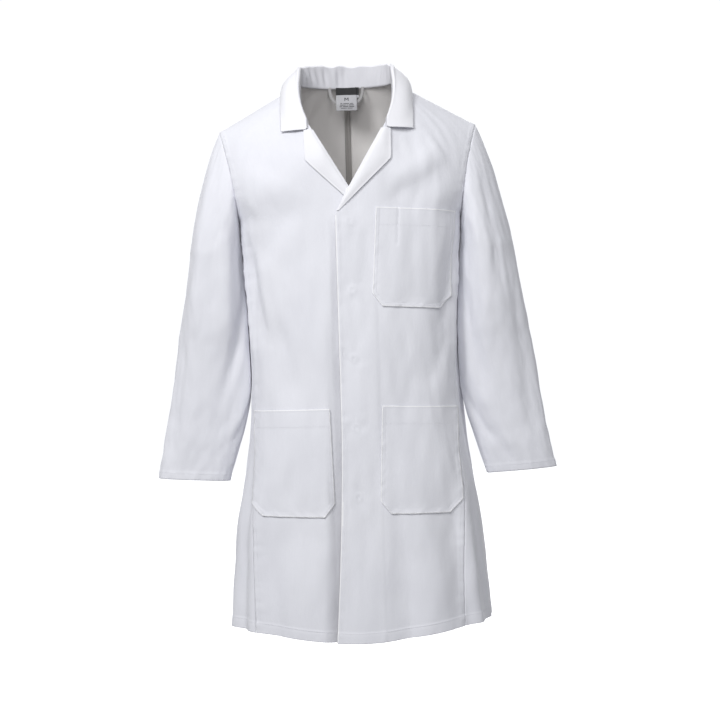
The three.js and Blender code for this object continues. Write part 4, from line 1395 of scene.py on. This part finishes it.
def buildCollar():
    u = np.unique(np.concatenate([np.linspace(0, 1, 230), [0.001, 0.003, 0.997, 0.999]]))
    base, taper = neckPoint(u), collarTaper(u)
    out = unitVectors(base * np.array([1, 1, 0]))
    high = mix(0.003, collar["standHeight"], taper)
    overShoulder = bell((np.abs(u - 0.5) * 2 - 0.5) / 0.17)
    high = high - collar["shoulderDip"] * overShoulder
    lean = mix(0.004, collar["roll"], taper) * 0.5 - collar["shoulderPull"] * overShoulder
    fold = base + out * lean[:, None]
    fold[:, 2] += high
    wave = noiseAt(stack3(u * 26, u * 0 + 2.2, u * 0))
    wave2 = noiseAt(stack3(u * 64, u * 0 + 8.1, u * 0))
    loose = ease((0.52 - np.abs(u - 0.5) * 2) / 0.2)
    fold[:, 2] += (collar["crumple"] * wave + collar["fineCrumple"] * wave2) * loose * 0.7
    fold += out * ((0.0012 * wave2 - 0.002 * wave) * loose)[:, None]
    behind = ease((0.62 - np.abs(u - 0.5) * 2) / 0.15)[:, None]
    low = base * np.array([1 - collar["pulledIn"] / coatCut["neckHalf"], 1, 1])
    low = low + np.array([0, 0, collar["lowLift"]])
    low = low - out * collar["lapIn"] * behind - np.array([0, 0, collar["lapDown"]]) * behind
    radius = mix(collar["foldRadiusAtEnds"], collar["foldRadius"], taper)[:, None]
    rows = []
    for v in np.linspace(0, 0.9, 10):
        sway = collar["sway"] * math.sin(math.pi * v) * ((wave + 0.7 * wave2) * loose)[:, None]
        rows.append(mix(low, fold, v) + out * sway)
    centre = fold + out * radius
    for a in np.linspace(0.95, 0.08, 9) * math.pi:
        rows.append(centre + out * radius * math.cos(a) + np.array([0, 0, 1]) * radius * math.sin(a) * 1.25)
    leafTop = centre + out * radius
    edge = leafEdge(u)
    for v in np.linspace(0.05, 1, 26):
        bulge = collar["bulge"] * math.sin(math.pi * v) * (0.45 + taper)[:, None]
        crease = noiseAt(stack3(u * 22, u * 0 + v * 1.6, u * 0 + 4.4)) * loose
        creased = collar["crease"] * math.sin(math.pi * v) * crease[:, None]
        rows.append(mix(leafTop, edge, v) + out * (bulge + creased))
    grid = np.stack(rows, axis=0)
    # the collar is the lighter copy, painted light; its stand rows are repainted darker below
    piece = clothPiece("collar", grid, collar["thickness"], [paintedLightTwill], outwards=False)
    # the stand rows, which face into the neck, get the darker grey: painted shade
    standShadeRows = np.arange(len(rows))[:, None] <= collar["standRows"] + 0 * u[None, :]
    paintQuads(piece, standShadeRows, standTwill)
    return piece


collarPiece = buildCollar()
print("collar made")


hang = {
    "drop": 0.0015 - coatCut["napeRise"],
    "fromSeam": 0.0026,
    "loopAhead": 0.00105,
    "labelGap": 0.00065,
    "loopSpan": 0.062,
    "loopSag": 0.034,
    "tape": 0.005,
    "loopThick": 0.0016,
    "tapeThick": 0.0013,
    "labelThick": 0.0006,
}


def neckSeamY(across):
    seam = backY(np.abs(across), np.full_like(across, -coatCut["napeRise"]))
    return seam - coatCut["ply"] - hang["fromSeam"]


loopEnd = np.array([hang["loopSpan"] / 2 + hang["tape"] / 2])
loopPlane = float(neckSeamY(loopEnd)[0]) - hang["loopAhead"]
labels = {
    "neck_label": {"width": 0.039, "length": 0.045, "middle": 0.0, "forward": 0.0019},
    "care_label": {"width": 0.016, "length": 0.020, "middle": 0.0155, "forward": 0.0006},
}


# a label is sewn in at its top and hangs in front of the loop
def labelPoint(p, share, down, proud=0.0):
    across = p["middle"] + (share - 0.5) * p["width"]
    foot = loopPlane - hang["loopThick"] / 2 - hang["labelGap"]
    below = down / (hang["loopSag"] - hang["tape"])
    y = mix(neckSeamY(across), foot, np.minimum(1.15, below)) - p["forward"] - proud
    curl = 0.0006 * np.sin(share * 5 + 1) * down / p["length"]
    return stack3(across, y - curl, -hang["drop"] - down)


def labelMaterial():
    made, nodes, links, shader = newMaterial("wovenLabel")
    uv = nodes.new("ShaderNodeUVMap")
    uv.uv_map = "weave"
    apart = nodes.new("ShaderNodeSeparateXYZ")
    links.new(uv.outputs["UV"], apart.inputs["Vector"])
    band = mathNode(nodes, links, "LESS_THAN", apart.outputs["Y"], clothLook["labelBand"])
    ribs = waveNode(nodes, links, uv.outputs["UV"], 700, 0.0, 0.2)
    fibres = noiseNode(nodes, links, uv.outputs["UV"], 900, 3, (1, 0.2, 1))
    # the pale part is mid grey, painted shade
    pale = mixColours(nodes, links, fibres, clothLook["labelPaleInShade"], clothLook["labelPaleInShadeDark"])
    black = mixColours(nodes, links, fibres, clothLook["labelBlack"], clothLook["labelBlackShade"])
    links.new(mixColours(nodes, links, band, pale, black), shader.inputs["Base Color"])
    links.new(mapRange(nodes, links, fibres, 0.3, 0.7, 0.5, 0.75), shader.inputs["Roughness"])
    bump = nodes.new("ShaderNodeBump")
    bump.inputs["Distance"].default_value = 0.00008
    links.new(ribs, bump.inputs["Height"])
    links.new(bump.outputs["Normal"], shader.inputs["Normal"])
    return made


wovenLabel = labelMaterial()
labelInk = threadMaterial("labelInk", clothLook["ink"], clothLook["inkShade"])
labelPieces = {}
for name, p in labels.items():
    down, share = np.meshgrid(np.linspace(0, p["length"], 24), np.linspace(0, 1, 20), indexing="ij")
    grid = labelPoint(p, share, down)
    labelPieces[name] = clothPiece(name, grid, hang["labelThick"], [wovenLabel])

# bars as (place down, height, spans across) and the strokes of the letter as (across, down)
printed = {
    "proud": 0.00042,
    "thickness": 0.0001,
    "rows": [
        (0.0305, 0.0012, [(0.20, 0.30), (0.34, 0.62), (0.66, 0.82)]),
        (0.0335, 0.0012, [(0.18, 0.46), (0.50, 0.56), (0.60, 0.84)]),
        (0.0365, 0.0012, [(0.16, 0.28), (0.32, 0.58), (0.62, 0.86)]),
        (0.0395, 0.0010, [(0.22, 0.50), (0.54, 0.78)]),
    ],
    "letter": [
        [(0.42, 0.0260), (0.42, 0.0195)], [(0.42, 0.0195), (0.50, 0.0235)],
        [(0.50, 0.0235), (0.58, 0.0195)], [(0.58, 0.0195), (0.58, 0.0260)],
    ],
}


# plain woven bars for the small lines, and the size letter
def buildPrint():
    p = labels["neck_label"]
    points, faces = [], []

    def bar(shares, downs):
        start = len(points)
        points.extend(labelPoint(p, np.array(shares), np.array(downs), printed["proud"]).tolist())
        faces.append(tuple(range(start, start + len(shares))))

    for down, high, spans in printed["rows"]:
        for a, b in spans:
            bar([a, b, b, a], [down, down, down + high, down + high])
    for (a, d0), (b, d1) in printed["letter"]:
        thick = 0.018 if a == b else 0.020
        bar([a - thick, a + thick, b + thick, b - thick], [d0, d0, d1, d1])
    mesh = bpy.data.meshes.new("label_print")
    mesh.from_pydata(points, [], faces)
    mesh.materials.append(labelInk)
    piece = bpy.data.objects.new("label_print", mesh)
    bpy.context.scene.collection.objects.link(piece)
    thick = piece.modifiers.new("thickness", "SOLIDIFY")
    thick.thickness = printed["thickness"]
    return piece


printPiece = buildPrint()


def buildLoop():
    turn = np.linspace(0, math.pi, 90)
    offset = np.linspace(-0.5, 0.5, 9) * hang["tape"]
    a, o = np.meshgrid(turn, offset, indexing="ij")
    bow = np.abs(np.cos(a)) ** 0.8 * np.sign(np.cos(a))
    x = -(hang["loopSpan"] / 2 + o) * bow
    z = -hang["drop"] - (hang["loopSag"] + o) * np.sin(a) ** 0.8
    roundOff = 0.0005 * bell((np.abs(o) - hang["tape"] / 2) / 0.0008)
    y = loopPlane + roundOff - 0.0003 * np.sin(o * 2400)
    # the loop is the dark grey copy, painted shade
    return clothPiece("hanger_loop", stack3(x, y, z), hang["tapeThick"], [loopShadeTwill])


loopPiece = buildLoop()
print("labels made")


# hide the nodes that a piece stands for and put the piece under its first body; a piece given a span is
# instead fixed in place where it was built
def goesWith(piece, nodes, bodies, span=None):
    if nodes:
        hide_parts(*nodes)
    if span is None:
        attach(piece, bodies[0])
    else:
        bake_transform(piece)


leftFront, rightFront = ("coat", "left_front"), ("coat", "right_front")
for side, word, bodies in ((1, "left", leftFront), (-1, "right", rightFront)):
    halves = [word + "_upper", word + "_lower"]
    goesWith(frontPieces[word], ["front_" + half for half in halves], bodies, frontSpan)
    goesWith(facingPieces[word], ["facing_" + half for half in halves], bodies, frontSpan)
    goesWith(lapelPieces[word], ["lapel_" + word], ("coat",))
    goesWith(backPieces[word], ["back_" + word], ("coat",))
    goesWith(sideSeams[word], [], ("coat",))
    sleeved = ["sleeve_head_" + word, "sleeve_" + word]
    goesWith(sleevePieces[word], sleeved, ("coat", word + "_sleeve"), sleeveSpan[side])
numbers = [str(i + 1) for i in range(len(fronts["studs"]))]
goesWith(flyPiece, ["fly_strip_upper", "fly_strip_lower"], leftFront, frontSpan)
goesWith(posts, ["stud_post_" + number for number in numbers], rightFront, frontSpan)
goesWith(sockets, ["stud_socket_" + number for number in numbers], leftFront, frontSpan)
goesWith(pocketPieces["chest_pocket"], ["chest_pocket"], ("coat",))
for name, bodies in (("lower_pocket_left", leftFront), ("lower_pocket_right", rightFront)):
    goesWith(pocketPieces[name], [name], bodies, frontSpan)
goesWith(collarPiece, ["collar_stand", "collar_leaf"], ("coat",))
goesWith(backSeam, ["back_seam"], ("coat",))
goesWith(labelPieces["neck_label"], ["neck_label"], ("label",))
goesWith(labelPieces["care_label"], ["care_label"], ("label",))
goesWith(printPiece, [], ("label",))
goesWith(loopPiece, ["hanger_loop"], ("loop",))

# the front and sleeve stitches are fixed in place where they were built; the back's stitches go under the
# coat body
stitchLeft = stitchPiece("stitches_left_front", stitches["left"])
stitchRight = stitchPiece("stitches_right_front", stitches["right"])
stitchBack = stitchPiece("stitches_back", stitches["back"])
stitchSleeveLeft = stitchPiece("stitches_sleeve_left", stitches["sleeveLeft"])
stitchSleeveRight = stitchPiece("stitches_sleeve_right", stitches["sleeveRight"])
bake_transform(stitchLeft)
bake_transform(stitchRight)
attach(stitchBack, "coat")
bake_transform(stitchSleeveLeft)
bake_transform(stitchSleeveRight)

print("bodies joined")


studio = {
    "floorDrop": 1.30,
    "floorReach": 9.0,
    "floorGlow": 1.0,
    "floor": (0.93, 0.93, 0.94, 1),
    "floorShade": (0.90, 0.90, 0.915, 1),
    "air": (0.97, 0.98, 1, 1),
    "world": 0.36,
    "surround": 1.05,
    # each lamp: where it is, the height it points at, its size and its power
    "lamps": {
        "key": ((-1.4, -2.3, 1.5), -0.30, 1.0, 53),
        "front": ((0.1, -2.7, 1.1), -0.40, 1.2, 25),
        "top": ((-0.4, 0.2, 2.2), -0.40, 1.6, 7),
        "back": ((0.9, 2.9, 1.2), -0.45, 1.6, 34),
    },
}


def buildStage():
    reach, level = studio["floorReach"], -studio["floorDrop"]
    square = ((-reach, -reach), (reach, -reach), (reach, reach), (-reach, reach))
    corners = [(x, y, level) for x, y in square]
    mesh = bpy.data.meshes.new("paleFloor")
    mesh.from_pydata(corners, [], [(0, 1, 2, 3)])
    made, nodes, links, shader = newMaterial("paleFloor")
    place = nodes.new("ShaderNodeTexCoord").outputs["Object"]
    grain = noiseNode(nodes, links, place, 60, 4)
    floorColour = mixColours(nodes, links, grain, studio["floor"], studio["floorShade"])
    links.new(floorColour, shader.inputs["Base Color"])
    links.new(mapRange(nodes, links, grain, 0.3, 0.7, 0.65, 0.8), shader.inputs["Roughness"])
    shader.inputs["Emission Color"].default_value = studio["air"]
    shader.inputs["Emission Strength"].default_value = studio["floorGlow"]
    mesh.materials.append(made)
    floor = bpy.data.objects.new("paleFloor", mesh)
    bpy.context.scene.collection.objects.link(floor)
    floor.visible_diffuse = False  # the lamps light the coat, not the floor


def areaLight(name, place, height, size, power):
    data = bpy.data.lights.new(name, "AREA")
    data.shape = "DISK"
    data.size = size
    data.energy = power
    light = bpy.data.objects.new(name, data)
    light.location = place
    light.rotation_euler = (Vector((0, 0, height)) - Vector(place)).to_track_quat("-Z", "Y").to_euler()
    bpy.context.scene.collection.objects.link(light)


buildStage()
for name, lamp in studio["lamps"].items():
    areaLight(name, *lamp)

# a plain pale surround that the camera sees brighter than it lights the coat
world = bpy.data.worlds.new("softStudio")
world.use_nodes = True
surround = world.node_tree.nodes["Background"]
surround.inputs["Color"].default_value = studio["air"]
nodes, links = world.node_tree.nodes, world.node_tree.links
seen = nodes.new("ShaderNodeLightPath").outputs["Is Camera Ray"]
brightness = mapRange(nodes, links, seen, 0, 1, studio["world"], studio["surround"])
links.new(brightness, surround.inputs["Strength"])
bpy.context.scene.world = world
bpy.context.scene.view_settings.view_transform = "Standard"

camera = {"place": (0.010, -3.0, -0.496), "lens": 81.1, "roll": -1.8}
cameraData = bpy.data.cameras.new("camera")
cameraData.lens = camera["lens"]
cameraData.sensor_width = 36
cameraObject = bpy.data.objects.new("camera", cameraData)
cameraObject.location = camera["place"]
cameraObject.rotation_euler = (math.radians(90), 0, 0)
bpy.context.scene.collection.objects.link(cameraObject)
cameraObject.rotation_euler.rotate_axis("Z", math.radians(camera["roll"]))
bpy.context.scene.camera = cameraObject
